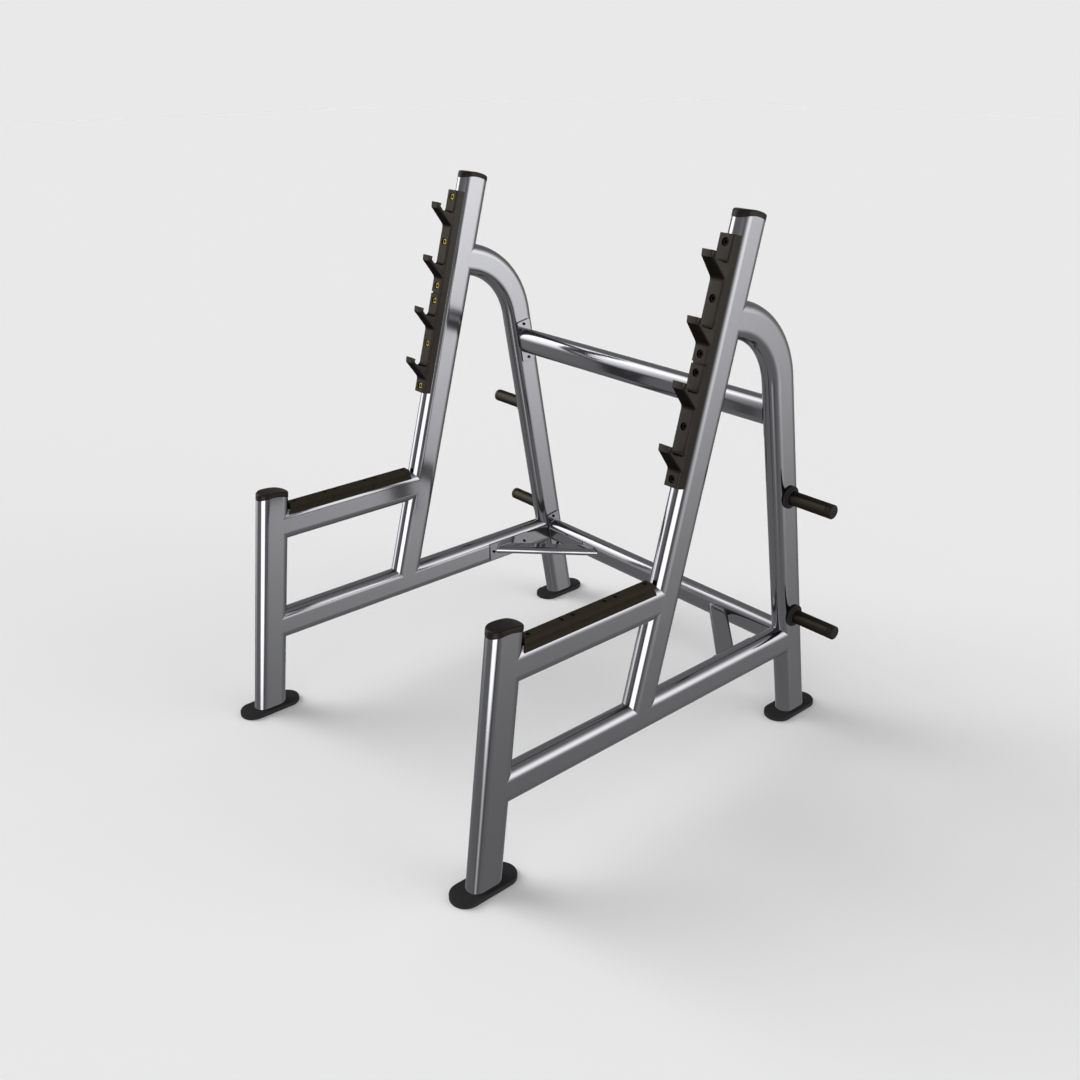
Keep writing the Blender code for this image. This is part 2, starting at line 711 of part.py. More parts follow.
def add_side_frames(frames):
    """The pieces that lie in a side frame's own plane, made once and placed in both."""
    post_top = POST_LENGTH + CUT_MARGIN
    upright_top = UPRIGHT_LENGTH + CUT_MARGIN
    floor = floor_cutter()
    lower = rail_frame(LOWER_RAIL_HEIGHT)
    safety = rail_frame(SAFETY_RAIL_HEIGHT)
    post_space = tube_space("post_space", POST, TUBE_DEPTH, -FOOT_LENGTH, post_top)
    upright_space = tube_space("upright_space", UPRIGHT, TUBE_DEPTH, -TUBE_DEPTH / 2, upright_top)
    leg_space = tube_space("leg_space", LEG, TUBE_DEPTH, -FOOT_LENGTH, UPPER_BEAM_HEIGHT)
    rail_space = tube_space("rail_space", lower, RAIL_DEPTH, -FOOT_SPACING, FOOT_SPACING)

    foot = build_foot()
    for name, frame in (("front_foot", POST), ("rear_foot", LEG)):
        place_pair(name, foot, Matrix.Translation((0, frame.translation.y, 0)), RUBBER, frames)

    post = build_tube("front_post", POST, TUBE_DEPTH, -FOOT_LENGTH / 2, post_top,
                      [floor, arch_cutter("post_arch", POST, POST_LENGTH)])
    place_pair("front_post", post, POST, PAINT, frames)
    place_pair("front_post_cap", build_cap("front_post_cap", POST_LENGTH), POST, PLASTIC, frames)

    front = centre_y(POST, LOWER_RAIL_HEIGHT)
    rear = centre_y(LEG, LOWER_RAIL_HEIGHT)
    lower_rail = build_tube("lower_rail", lower, RAIL_DEPTH, front, rear, [post_space, leg_space])
    place_pair("lower_rail", lower_rail, lower, PAINT, frames)

    front = centre_y(POST, SAFETY_RAIL_HEIGHT)
    rear = centre_y(UPRIGHT, SAFETY_RAIL_HEIGHT)
    safety_rail = build_tube("safety_rail", safety, RAIL_DEPTH, front, rear, [post_space, upright_space])
    place_pair("safety_rail", safety_rail, safety, PAINT, frames)

    start, end = pad_span()
    length = (end - start - (PAD_COUNT - 1) * PAD_JOINT) / PAD_COUNT
    pad = build_pad(length)
    for i, name in zip(range(PAD_COUNT), ("front_pad", "middle_pad", "rear_pad")):
        middle = start + length / 2 + i * (length + PAD_JOINT)
        frame = axes_frame((0, middle, SAFETY_RAIL_HEIGHT), (1, 0, 0), (0, 0, 1))
        place_pair(name, pad, frame, RUBBER, frames)

    upright = build_tube("upright", UPRIGHT, TUBE_DEPTH, 0, upright_top,
                         [rail_space, arch_cutter("upright_arch", UPRIGHT, UPRIGHT_LENGTH)])
    place_pair("upright", upright, UPRIGHT, PAINT, frames)
    place_pair("upright_cap", build_cap("upright_cap", UPRIGHT_LENGTH), UPRIGHT, PLASTIC, frames)

    leg = build_leg(upright_space, floor)
    place_pair("rear_leg", leg, ACROSS, PAINT, frames)

    casting_space = tube_space(
        "casting_space", Matrix.Identity(4), TUBE_DEPTH, -CASTING_LENGTH, CASTING_LENGTH
    )
    casting = build_casting(casting_space)
    upper = UPRIGHT_LENGTH - CASTING_TOP_INSET - CASTING_LENGTH / 2
    for name, middle in (("upper", upper), ("lower", upper - CASTING_LENGTH - CASTING_JOINT)):
        frame = UPRIGHT @ Matrix.Translation((0, 0, middle))
        place_pair(f"{name}_hook_casting", casting, frame, CAST_IRON, frames)


def add_pegs(frames):
    """Two pegs on the outside of each rear leg, each with a stop ring and an end cap."""
    peg, collar, cap = build_peg(), build_collar(), build_peg_cap()
    for side, sign in SIDES.items():
        for name, height in (("upper", UPPER_PEG_HEIGHT), ("lower", LOWER_PEG_HEIGHT)):
            origin = (sign * TUBE_WIDTH / 2, centre_y(LEG, height), height)
            frame = axes_frame(origin, (0, sign, 0), (0, 0, 1))
            place(f"{side}_{name}_peg", peg, frame, PEG_FINISH, frames[side])
            place(f"{side}_{name}_peg_collar", collar, frame, RUBBER, frames[side])
            place(f"{side}_{name}_peg_cap", cap, frame, PLASTIC, frames[side])


def add_beams(frames):
    """The two cross beams and the plates that bolt them to the rear legs."""
    face = FRAME_SPACING / 2 - TUBE_WIDTH / 2
    half = face - 2 * SEAT_GAP - FLANGE_THICKNESS
    outlines = [
        flat_oval(BEAM_WIDTH, BEAM_DEPTH, ROUND_STEPS),
        flat_oval(BEAM_WIDTH - 2 * TUBE_WALL, BEAM_DEPTH - 2 * TUBE_WALL, BORE_STEPS),
    ]
    beam = prism("beam", outlines, -half, half)
    flange = plate("flange", FLANGE_WIDTH, FLANGE_HEIGHT, FLANGE_THICKNESS, FLANGE_CORNER_RADIUS)
    for name, height in (("upper", UPPER_BEAM_HEIGHT), ("lower", LOWER_RAIL_HEIGHT)):
        y = centre_y(LEG, height)
        place(f"{name}_beam", beam, axes_frame((0, y, height), LEG.col[1].xyz, LEG.col[2].xyz), PAINT, None)
        for side, sign in SIDES.items():
            origin = (-sign * TUBE_WIDTH / 2, y, height)
            frame = axes_frame(origin, -sign * LEG.col[1].xyz, LEG.col[2].xyz)
            place(f"{side}_{name}_flange", flange, frame, PAINT, frames[side])


def add_braces(frames):
    """A flat brace across each rear corner, bolted to the lower rail and coped to the lower beam."""
    face = FRAME_SPACING / 2 - TUBE_WIDTH / 2
    plate_face = face - SEAT_GAP - BRACE_PLATE_THICKNESS
    beam_y = centre_y(LEG, LOWER_RAIL_HEIGHT)
    beam_front = beam_y - BEAM_WIDTH / 2 / cos(LEG_LEAN)
    rail_point_y = beam_front - BRACE_SETBACK
    outline = flat_oval(BEAM_WIDTH + 2 * SEAT_GAP, BEAM_DEPTH + 2 * SEAT_GAP, ROUND_STEPS)
    space = prism("beam_space", [outline], -face, face)
    beam_frame = axes_frame((0, beam_y, LOWER_RAIL_HEIGHT), LEG.col[1].xyz, LEG.col[2].xyz)
    beam_space = new_cutter("beam_space", space, beam_frame)
    mount = plate("brace_plate", BRACE_PLATE_LENGTH, BRACE_PLATE_HEIGHT, BRACE_PLATE_THICKNESS,
                  BRACE_PLATE_CORNER_RADIUS)
    for side, sign in SIDES.items():
        block = prism("plate_space", [rounded_rectangle(CUTTER_REACH, CUTTER_REACH, 0)],
                      plate_face - SEAT_GAP, face + CUTTER_REACH)
        wall = axes_frame((0, 0, 0), (0, sign, 0), (0, 0, 1))
        plate_space = new_cutter("plate_space", block, wall)
        origin = Vector((sign * face, rail_point_y, LOWER_RAIL_HEIGHT))
        run = Vector((-sign * cos(BRACE_ANGLE), sin(BRACE_ANGLE), 0))
        frame = axes_frame(origin, (0, 0, 1), run.cross((0, 0, 1)))
        reach = (BRACE_SETBACK + BEAM_WIDTH / 2) / cos(BRACE_ANGLE)
        sections = [
            flat_oval(BRACE_THICKNESS, BRACE_WIDTH, ROUND_STEPS),
            flat_oval(BRACE_THICKNESS - 2 * TUBE_WALL, BRACE_WIDTH - 2 * TUBE_WALL, BORE_STEPS),
        ]
        brace = prism("brace", sections, -BRACE_WIDTH, reach)
        brace = combined(brace, [("DIFFERENCE", plate_space), ("DIFFERENCE", beam_space)], frame)
        place(f"{side}_corner_brace", brace, frame, PAINT, None)
        middle = rail_point_y + BRACE_PLATE_THICKNESS + BRACE_PLATE_SHIFT
        seat = axes_frame((-sign * TUBE_WIDTH / 2, middle, LOWER_RAIL_HEIGHT), (0, -sign, 0), (0, 0, 1))
        place(f"{side}_brace_plate", mount, seat, PAINT, frames[side])


def main():
    for piece in list(bpy.data.objects):
        bpy.data.objects.remove(piece, do_unlink=True)
    for collection in (stand, cutters):
        bpy.context.scene.collection.children.link(collection)
    frames = {}
    for side, sign in SIDES.items():
        empty = bpy.data.objects.new(f"{side}_frame", None)
        empty.location = (sign * FRAME_SPACING / 2, 0, 0)
        stand.objects.link(empty)
        frames[side] = empty
    add_side_frames(frames)
    add_pegs(frames)
    add_beams(frames)
    add_braces(frames)
    bpy.context.view_layer.update()


main()
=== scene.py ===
"""Squat stand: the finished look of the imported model, laid out as an add-on and run as a script.

Metres, +Z up, the open front towards -Y, the right-hand side frame at +X. A side frame is drawn in the
plane of Y and Z. A line there is a point, a direction along the tube and a normal that points to the
tube's rear side; the flat-oval outline has u across the frame's plane and v along the normal.
"""

from contextlib import contextmanager
from math import cos, pi, radians, sin, tan
from types import SimpleNamespace

import bmesh
import bpy
import numpy as np
from bpy.props import FloatProperty, FloatVectorProperty, IntProperty, PointerProperty
from mathutils import Matrix, Vector


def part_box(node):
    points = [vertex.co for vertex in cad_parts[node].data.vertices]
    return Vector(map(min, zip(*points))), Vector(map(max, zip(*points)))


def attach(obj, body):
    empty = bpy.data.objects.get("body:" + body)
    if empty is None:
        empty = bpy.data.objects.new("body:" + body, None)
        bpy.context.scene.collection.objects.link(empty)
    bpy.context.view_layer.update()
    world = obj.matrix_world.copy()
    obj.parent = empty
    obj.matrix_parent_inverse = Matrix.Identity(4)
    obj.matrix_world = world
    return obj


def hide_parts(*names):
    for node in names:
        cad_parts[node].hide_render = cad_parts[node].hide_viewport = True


bl_info = {
    "name": "Squat Stand",
    "version": (1, 0, 0),
    "blender": (4, 5, 0),
    "location": "View3D > Sidebar > Squat Stand",
    "description": "Builds the tubes, castings, pads, pegs and bolts of a squat stand",
    "category": "Object",
}

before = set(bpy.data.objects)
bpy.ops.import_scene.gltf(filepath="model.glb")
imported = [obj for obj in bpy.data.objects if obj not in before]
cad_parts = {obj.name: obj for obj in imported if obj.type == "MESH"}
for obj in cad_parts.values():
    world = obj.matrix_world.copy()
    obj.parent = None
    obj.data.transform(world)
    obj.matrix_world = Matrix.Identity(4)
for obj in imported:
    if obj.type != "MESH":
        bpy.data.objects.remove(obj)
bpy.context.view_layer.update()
SIDES = {"right": 1, "left": -1}
PADS = ("front_pad", "middle_pad", "rear_pad")
X_AXIS, Y_AXIS, Z_AXIS = np.eye(3)

# In metres: the gap between neighbouring parts, the radius of the ring that closes a turned piece, and the
# half width of the row that closes a flat top.
GAP = 0.0003
AXIS_RING = 0.0001
LAST_ROW = 0.00002

# Steps of a tube's half round, of a foot's, of the rear leg's bend, and round a peg, a bolt and a screw.
CROSS_STEPS = 24
FOOT_STEPS = 40
BEND_STEPS = 32
PEG_STEPS = 56
HEAD_STEPS = 48
SCREW_STEPS = 36


def length(name, value, description):
    """A length in metres as a property."""
    return FloatProperty(name=name, default=value, unit="LENGTH", precision=4, description=description)


def angle(name, value, description):
    """An angle given in degrees as a property in radians."""
    return FloatProperty(name=name, default=radians(value), unit="ROTATION", description=description)


def colour(name, value, description):
    """A linear colour as a property."""
    return FloatVectorProperty(
        name=name, default=value, subtype="COLOR", min=0, max=1, description=description
    )


class TubeSizes(bpy.types.PropertyGroup):
    """Sizes and places of the flat-oval tubes."""

    width: length("Tube width", 0.0612, "Width of the side frames' tubes")
    depth: length("Tube depth", 0.1083, "Depth of the posts, uprights and rear legs")
    rail_depth: length("Rail depth", 0.1067, "Height of the level rails")
    beam_width: length("Beam width", 0.0600, "Width of the cross beams")
    beam_depth: length("Beam depth", 0.0907, "Height of the cross beams")
    spacing: length("Frame spacing", 1.1804, "Between the side frames' middle planes")
    foot_spacing: length("Foot spacing", 1.3428, "Between the front and the rear foot")
    post_lean: angle("Post lean", 6.48, "Lean of the front post to the rear")
    post_length: length("Post length", 0.7570, "From the foot to the post's end")
    lower_rail: length("Lower rail height", 0.3037, "Height of the lower rail's middle line")
    safety_rail: length("Safety rail height", 0.6594, "Height of the safety rail's middle line")
    upright_foot: length("Upright foot", -0.0976, "Where the upright crosses the lower rail")
    upright_lean: angle("Upright lean", 14.56, "Lean of the upright to the rear")
    upright_length: length("Upright length", 1.4390, "From the lower rail to the upright's end")
    leg_lean: angle("Leg lean", 10.54, "Lean of the rear leg to the front")
    bend_radius: length("Bend radius", 0.2637, "Radius of the rear leg's bend")
    arm_along: length("Arm height", 1.1692, "Where the arm meets the upright")
    upper_beam: length("Upper beam height", 1.1056, "Height of the upper beam's middle line")
    brace_setback: length("Brace setback", 0.2388, "From the lower beam to a brace's front")
    brace_width: length("Brace width", 0.0605, "Width of a corner brace")
    brace_thickness: length("Brace thickness", 0.0280, "Height of a corner brace")
    end_arch: length("End arch", 0.125, "Radius of the tubes' arched top ends")
    bead: length("Weld seam", 0.0007, "Radius of the ground weld seams")


class TrimSizes(bpy.types.PropertyGroup):
    """Sizes of the feet, caps, pegs and bolts."""

    foot_length: length("Foot length", 0.2127, "Length of a foot")
    foot_width: length("Foot width", 0.0931, "Width of a foot")
    foot_thickness: length("Foot thickness", 0.0153, "Thickness of a foot")
    foot_round: length("Foot edge", 0.0030, "Radius of a foot's upper edge")
    cap_crown: length("Cap crown", 0.200, "Radius of an end cap's crown")
    cap_rise: length("Cap rise", 0.0156, "Height of an end cap over the tube's end")
    cap_overhang: length("Cap overhang", 0.0005, "How far an end cap stands out over the tube")
    cap_edge: length("Cap edge", 0.0050, "Radius of an end cap's upper edge")
    upper_peg: length("Upper peg height", 0.8357, "Height of the upper pegs")
    lower_peg: length("Lower peg height", 0.3987, "Height of the lower pegs")
    peg_radius: length("Peg radius", 0.0223, "Radius of a peg")
    peg_reach: length("Peg reach", 0.1605, "How far a peg stands out of the leg")
    peg_cap: length("Peg cap", 0.0200, "Length of a peg's end cap")
    collar_radius: length("Collar radius", 0.0360, "Radius of the stop ring")
    hub_radius: length("Hub radius", 0.0300, "Radius of the stop ring's hub")
    collar_width: length("Collar width", 0.0070, "Width of the stop ring")
    hub_width: length("Hub width", 0.0050, "Width of the stop ring's hub")
    hook_bolt: length("Hook bolt", 0.0096, "Radius of the hook bolts' heads")
    plate_bolt: length("Plate bolt", 0.0050, "Radius of the plate bolts' heads")
    flange_bolt_offset: length("Flange bolts", 0.0645, "From a flange's middle to its bolts")
    brace_bolt_offset: length("Brace plate bolts", 0.0768, "From a brace plate's middle to its bolts")


class CastingSizes(bpy.types.PropertyGroup):
    """Sizes of the hook castings and of the pads on the safety rails."""

    length: length("Casting length", 0.3405, "Length of a hook casting")
    joint: length("Casting joint", 0.0065, "Gap between the two castings of an upright")
    top_inset: length("Casting inset", 0.0565, "From the upright's end to the upper casting")
    thickness: length("Casting thickness", 0.0194, "How far a casting stands out of the upright")
    sink_depth: length("Counterbore depth", 0.0090, "Depth of the bolts' counterbores")
    sink_inset: length("Counterbore inset", 0.0222, "From a casting's end to the nearest bolt")
    wrap: length("Casting wrap", 0.0122, "How far a casting reaches back round the upright")
    spacer_recess: length("Spacer recess", 0.0070, "How far the spacer lies behind the front")
    # This reach belongs to the painted shade in the hooks' rear corners: the marked faces are darkened
    # because they lie in shade.
    soiled_reach: length("Soiled reach", 0.0085, "How far the dirt reaches out from a casting's front")
    hook_spacing: length("Hook spacing", 0.1737, "Distance between a casting's two hooks")
    hook_drop: length("Hook drop", 0.0495, "From a casting's end to its upper hook's lip")
    hook_reach: length("Hook reach", 0.0645, "How far a hook stands out of its casting")
    hook_width: length("Hook width", 0.0475, "Width of a hook")
    hook_nose: length("Hook nose", 0.0195, "Height of a hook's nose")
    hook_root_drop: length("Hook root", 0.0685, "From a hook's lip down to its root")
    hook_edge: length("Hook edge", 0.0090, "Radius of a hook's edges in the solids")
    nose_round: length("Nose rounding", 0.0115, "Radius of the upright edges of a hook's nose")
    arm_round: length("Arm rounding", 0.0135, "Radius of a hook's lower edges")
    soft_edge: length("Casting edge", 0.0011, "Rounding of a casting's sharp edges")
    pad_hole_inset: length("Pad screw inset", 0.0193, "From a pad's end to its screw")
    pad_screw: length("Pad screw", 0.0062, "Radius of the pads' cup washers")
    pad_height: length("Pad height", 0.0131, "Height of the pads over the safety rail")


class Finishes(bpy.types.PropertyGroup):
    """Colours of the finishes."""

    paint: colour("Paint", (0.20, 0.20, 0.21), "Metallic grey paint of the steel")
    casting: colour("Casting", (0.027, 0.0245, 0.0215), "Coated hook castings")
    rubber: colour("Rubber", (0.0275, 0.0275, 0.0280), "Feet and stop rings")
    pad: colour("Pad", (0.0290, 0.0240, 0.0180), "Pads on the safety rails")
    plastic: colour("Plastic", (0.020, 0.017, 0.014), "End caps")
    peg: colour("Peg", (0.026, 0.022, 0.017), "Coat of the pegs")
    zinc: colour("Yellow zinc", (0.21, 0.15, 0.022), "Plating of the left frame's hook bolts")
    # The black finish also stands as painted shade on the right frame's hook bolts.
    oxide: colour("Black oxide", (0.010, 0.009, 0.008), "Black bolts and screws")


class StageSettings(bpy.types.PropertyGroup):
    """Camera, floor and light."""

    eye: FloatVectorProperty(
        name="Camera place", default=(2.4958, -2.1386, 2.1351), subtype="TRANSLATION",
        description="Where the camera stands",
    )
    azimuth: angle("Camera azimuth", 49.078, "Turn of the camera from a look along +Y, to the left")
    elevation: angle("Camera elevation", 23.058, "How far the camera looks down")
    roll: angle("Camera roll", -0.083, "Turn of the picture about the line of sight")
    picture: IntProperty(name="Picture size", default=1080, description="Width and height in pixels")
    focal_pixels: FloatProperty(name="Focal length", default=1118.28, description="In the picture's pixels")
    centre_x: FloatProperty(name="Picture centre X", default=534.24, description="In pixels from the left")
    centre_y: FloatProperty(name="Picture centre Y", default=510.81, description="In pixels from the top")
    floor: colour("Floor", (0.90, 0.90, 0.90), "Floor")
    floor_reach: length("Floor reach", 30.0, "How far the floor reaches from the stand's middle")
    backdrop: colour("Backdrop", (0.815, 0.815, 0.815), "What is seen past the floor")
    ambient: FloatProperty(name="Ambient light", default=0.46, description="Light between the panels")


class StandSettings(bpy.types.PropertyGroup):
    """All the settings of the stand."""

    tubes: PointerProperty(type=TubeSizes, name="Tubes", description="Sizes of the tubes")
    trim: PointerProperty(type=TrimSizes, name="Trim", description="Sizes of the trim")
    castings: PointerProperty(type=CastingSizes, name="Castings", description="Sizes of castings and pads")
    finishes: PointerProperty(type=Finishes, name="Finishes", description="Colours")
    stage: PointerProperty(type=StageSettings, name="Stage", description="Camera, floor and light")


def settings():
    """The stand's settings in this scene."""
    return bpy.context.scene.squat_stand


def frame_x(side):
    """The place of a side frame's middle plane."""
    return SIDES[side] * settings().tubes.spacing / 2


# Shapes as arrays


def flat_oval(width, depth, steps=CROSS_STEPS):
    """Two half circles of radius width / 2 whose centres are depth - width apart, joined by straights.

    Each straight has a point close to its two ends, which keeps its shading flat, and a few between.
    """
    radius = width / 2
    centre = depth / 2 - radius
    turn = np.linspace(0, pi, steps + 1)
    hold, points = min(0.0015, centre), 8
    flat = np.linspace(centre - hold, hold - centre, points)
    side = np.full(points, radius)
    u = np.concatenate([radius * np.cos(turn), -side, -radius * np.cos(turn), side])
    v = np.concatenate([centre + radius * np.sin(turn), flat, -centre - radius * np.sin(turn), -flat])
    return u, v


def hexagon(turn, reach):
    """Distance from the middle to the side of a hexagon of that half width, for each angle."""
    return reach / np.cos((turn + pi / 6) % (pi / 3) - pi / 6)


def in_space(x, y, z):
    """Three arrays as one array of points."""
    return np.stack(np.broadcast_arrays(x, y, z), axis=-1)


def at_x(x, points):
    """Points of the Y and Z plane, each at its own x."""
    return in_space(x, points[..., 0], points[..., 1])


def line(y, z, lean):
    """A tube's line: its point, its direction, which leans to the rear by an angle, and its rear normal."""
    return SimpleNamespace(
        at=np.array((y, z)), along=np.array((sin(lean), cos(lean))), normal=np.array((cos(lean), -sin(lean)))
    )


def on_line(tube, s, v):
    """Points of the Y and Z plane at distance s along a line and v along its normal."""
    s, v = np.broadcast_arrays(s, v)
    return tube.at + s[..., None] * tube.along + v[..., None] * tube.normal


def cope(tube, u, v, other, depth, sign):
    """Where lines along a tube meet the flat oval of a neighbour of that depth.

    A point's distance from the neighbour's middle line grows evenly along the tube, so the place is the
    missing distance divided by that rate.
    """
    radius = settings().tubes.width / 2
    reach = depth / 2 - radius + np.sqrt(np.maximum(radius * radius - u * u, 0))
    normal = sign * other.normal
    start = (on_line(tube, np.zeros_like(v), v) - other.at) @ normal
    return (reach + GAP - start) / (tube.along @ normal)


def level_cut(tube, v, height):
    """Where lines along a tube meet a height."""
    return (height - on_line(tube, np.zeros_like(v), v)[..., 1]) / tube.along[1]


def arch_fall(radius, v):
    """How far a circular arch has fallen at distance v from its middle."""
    return radius - np.sqrt(radius * radius - v * v)


def straight_tube(x, tube, u, v, start, end):
    """A profile carried from one end curve to the other, each given as distances for the profile's points."""
    return at_x(x + u, on_line(tube, np.array([start, end]), v))


def quarter(edge, steps):
    """A quarter round from a wall to a flat end: pairs of how far in and how far below the end it is."""
    return [(edge * (1 - cos(a)), edge * (1 - sin(a))) for a in np.linspace(0, pi / 2, steps)]


def rim(radius, height, edge, steps=5):
    """The quarter round of a turned piece, from the wall to the end."""
    return [(radius - inset, height - drop) for inset, drop in quarter(edge, steps)]


def turned(profile, steps, origin, x_axis, y_axis, z_axis):
    """A profile of radius and height turned about an axis; a radius may change with the angle."""
    turn = np.linspace(0, 2 * pi, steps, endpoint=False)
    ring = np.outer(np.cos(turn), x_axis) + np.outer(np.sin(turn), y_axis)
    rows = []
    for radius, height in profile:
        r = radius(turn)[:, None] if callable(radius) else radius
        rows.append(origin + r * ring + height * z_axis)
    return np.array(rows)


def evenly(curve, count):
    """A closed curve's points moved to equal distances along it."""
    closed = np.vstack([curve, curve[:1]])
    run = np.concatenate([[0], np.cumsum(np.linalg.norm(np.diff(closed, axis=0), axis=1))])
    places = np.linspace(0, run[-1], count, endpoint=False)
    return np.stack([np.interp(places, run, closed[:, k]) for k in range(3)], axis=1)


def bead(curve, radius, middle=None, half=1.0):
    """A weld bead: a small circle carried round a closed curve, its radius swelling a little in even waves.

    Where a middle is given, the radius falls to almost nothing at the tube's flat sides, which meet flush.
    """
    count, steps, wave, wave_steps, least = 150, 8, 0.10, 5, 0.05
    path = evenly(curve, count)
    ahead = np.roll(path, -1, axis=0) - np.roll(path, 1, axis=0)
    ahead /= np.linalg.norm(ahead, axis=1)[:, None]
    out = path - path.mean(axis=0)
    side = np.cross(ahead, out)
    side /= np.linalg.norm(side, axis=1)[:, None]
    out = np.cross(side, ahead)
    swell = radius * (1 + wave * np.sin(np.arange(count) * 2 * pi / wave_steps))
    if middle is not None:
        swell *= np.clip(1 - ((path[:, 0] - middle) / half) ** 4, least, 1)
    turn = np.linspace(0, 2 * pi, steps, endpoint=False)[:, None]
    ring = out[:, None] * np.cos(turn) + side[:, None] * np.sin(turn)
    return path[:, None] + swell[:, None, None] * ring


# Meshes and materials


def grid_faces(rows, columns, first, looped):
    """Four-sided faces between neighbouring rows; the columns close on themselves, and rows may too."""
    upper = rows if looped else rows - 1
    i, j = np.meshgrid(np.arange(upper), np.arange(columns), indexing="ij")
    after, beside = (i + 1) % rows, (j + 1) % columns
    corners = (i * columns + j, i * columns + beside, after * columns + beside, after * columns + j)
    return first + np.stack(corners, axis=-1).reshape(-1, 4)


def build(name, grids, material, replaced=(), looped=False):
    """Makes a piece from grids of points, closes their ends, gives it a finish and lets it ride the stand."""
    points, faces, ends, count = [], [], [], 0
    for grid in grids:
        rows, columns = grid.shape[:2]
        points.append(grid.reshape(-1, 3))
        faces += grid_faces(rows, columns, count, looped).tolist()
        if not looped:
            ends.append(list(range(count, count + columns))[::-1])
            ends.append(list(range(count + (rows - 1) * columns, count + rows * columns)))
        count += rows * columns
    mesh = bpy.data.meshes.new(name)
    mesh.from_pydata(np.concatenate(points).tolist(), [], faces + ends)
    with reshaped(mesh) as shape:
        bmesh.ops.remove_doubles(shape, verts=shape.verts, dist=0.00001)
        bmesh.ops.dissolve_degenerate(shape, edges=shape.edges, dist=0.000001)
        bmesh.ops.recalc_face_normals(shape, faces=shape.faces)
    return finished(name, mesh, material, replaced, smooth=38)


@contextmanager
def reshaped(mesh):
    """Opens a mesh for changes and writes them back."""
    shape = bmesh.new()
    shape.from_mesh(mesh)
    yield shape
    shape.to_mesh(mesh)
    shape.free()


def finished(name, mesh, material, replaced, smooth):
    """Links a piece, shades it smooth up to an angle in degrees and hides the CAD nodes it stands for."""
    mesh.shade_smooth()
    mesh.set_sharp_from_angle(angle=radians(smooth))
    mesh.materials.clear()
    mesh.materials.append(material)
    piece = bpy.data.objects.new(name, mesh)
    bpy.context.scene.collection.objects.link(piece)
    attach(piece, "root")
    if replaced:
        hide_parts(*replaced)
    return piece


def softened(node, name, material, width, smooth=35, limit=34, moved=None):
    """A copy of a CAD node with its flat faces joined up and its sharp edges rounded.

    Edges that turn by more than smooth degrees stay sharp in the shading, and by more than limit are rounded.
    moved, where it is given, takes the points as an array and gives their new places.
    """
    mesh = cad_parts[node].data.copy()
    flat = radians(0.6)
    with reshaped(mesh) as shape:
        bmesh.ops.remove_doubles(shape, verts=shape.verts, dist=0.00002)
        bmesh.ops.dissolve_limit(
            shape, angle_limit=flat, use_dissolve_boundaries=False, verts=shape.verts, edges=shape.edges
        )
    if moved:
        points = np.empty(len(mesh.vertices) * 3)
        mesh.vertices.foreach_get("co", points)
        mesh.vertices.foreach_set("co", moved(points.reshape(-1, 3)).ravel())
    piece = finished(name, mesh, material, (node,), smooth)
    edge = piece.modifiers.new("rounded edges", "BEVEL")
    edge.width = width
    edge.segments = 2
    edge.limit_method = "ANGLE"
    edge.angle_limit = radians(limit)
    edge.harden_normals = True
    edge.use_clamp_overlap = True
    even = piece.modifiers.new("even shading", "WEIGHTED_NORMAL")
    even.keep_sharp = True
    even.weight = 100
    return piece


def adder(tree):
    """A short way to add nodes to a tree: a value goes to the input of its name, or else to the node."""

    def add(kind, **values):
        node = tree.nodes.new(kind)
        for key, value in values.items():
            if key in node.inputs:
                node.inputs[key].default_value = value
            else:
                setattr(node, key, value)
        return node

    return add


def new_material(name):
    """A new material with nodes, and its shader."""
    material = bpy.data.materials.new(name)
    material.use_nodes = True
    return material, material.node_tree.nodes["Principled BSDF"]


def grained(name, base, rough, metallic, edge, grain, grain_height, mottle, spread, soil):
    """A finish with a fine bump, a soft change of colour and a change of roughness, all from noise, and a
    painted shade that darkens the faces a mesh attribute marks.
    """
    material, shader = new_material(name)
    link, add = material.node_tree.links.new, adder(material.node_tree)
    place = add("ShaderNodeTexCoord").outputs["Object"]
    fine = add("ShaderNodeTexNoise", Scale=grain, Detail=3.0, Roughness=0.6)
    broad = add("ShaderNodeTexNoise", Scale=mottle, Detail=4.0, Roughness=0.55)

    def varied(noise, value):
        """A value that the noise changes by the spread, up and down."""
        link(place, noise.inputs["Vector"])
        node = add("ShaderNodeMapRange", **{"To Min": value * (1 - spread), "To Max": value * (1 + spread)})
        link(noise.outputs["Fac"], node.inputs["Value"])
        return node.outputs["Result"]

    def scaled(factor):
        """A node that multiplies a colour by a factor."""
        node = add("ShaderNodeVectorMath", operation="SCALE")
        link(factor, node.inputs["Scale"])
        return node

    tint = scaled(varied(broad, 1))
    tint.inputs[0].default_value = base
    # Painted shade: the marked faces' colour is darkened by that share.
    if soil:
        unshaded = add("ShaderNodeMath", operation="MULTIPLY_ADD")
        unshaded.inputs[1].default_value, unshaded.inputs[2].default_value = -soil, 1.0
        link(add("ShaderNodeAttribute", attribute_name="soil").outputs["Fac"], unshaded.inputs[0])
        clear, tint = tint, scaled(unshaded.outputs["Value"])
        link(clear.outputs["Vector"], tint.inputs[0])
    link(tint.outputs["Vector"], shader.inputs["Base Color"])
    link(varied(fine, rough), shader.inputs["Roughness"])
    bump = add("ShaderNodeBump", Strength=1.0, Distance=grain_height)
    link(fine.outputs["Fac"], bump.inputs["Height"])
    link(bump.outputs["Normal"], shader.inputs["Normal"])
    shader.inputs["Metallic"].default_value = metallic
    shader.inputs["Specular IOR Level"].default_value = 0.5 * edge
    shader.inputs["Specular Tint"].default_value = (edge, edge, edge, 1)
    material.diffuse_color = (*base, 1)
    return material
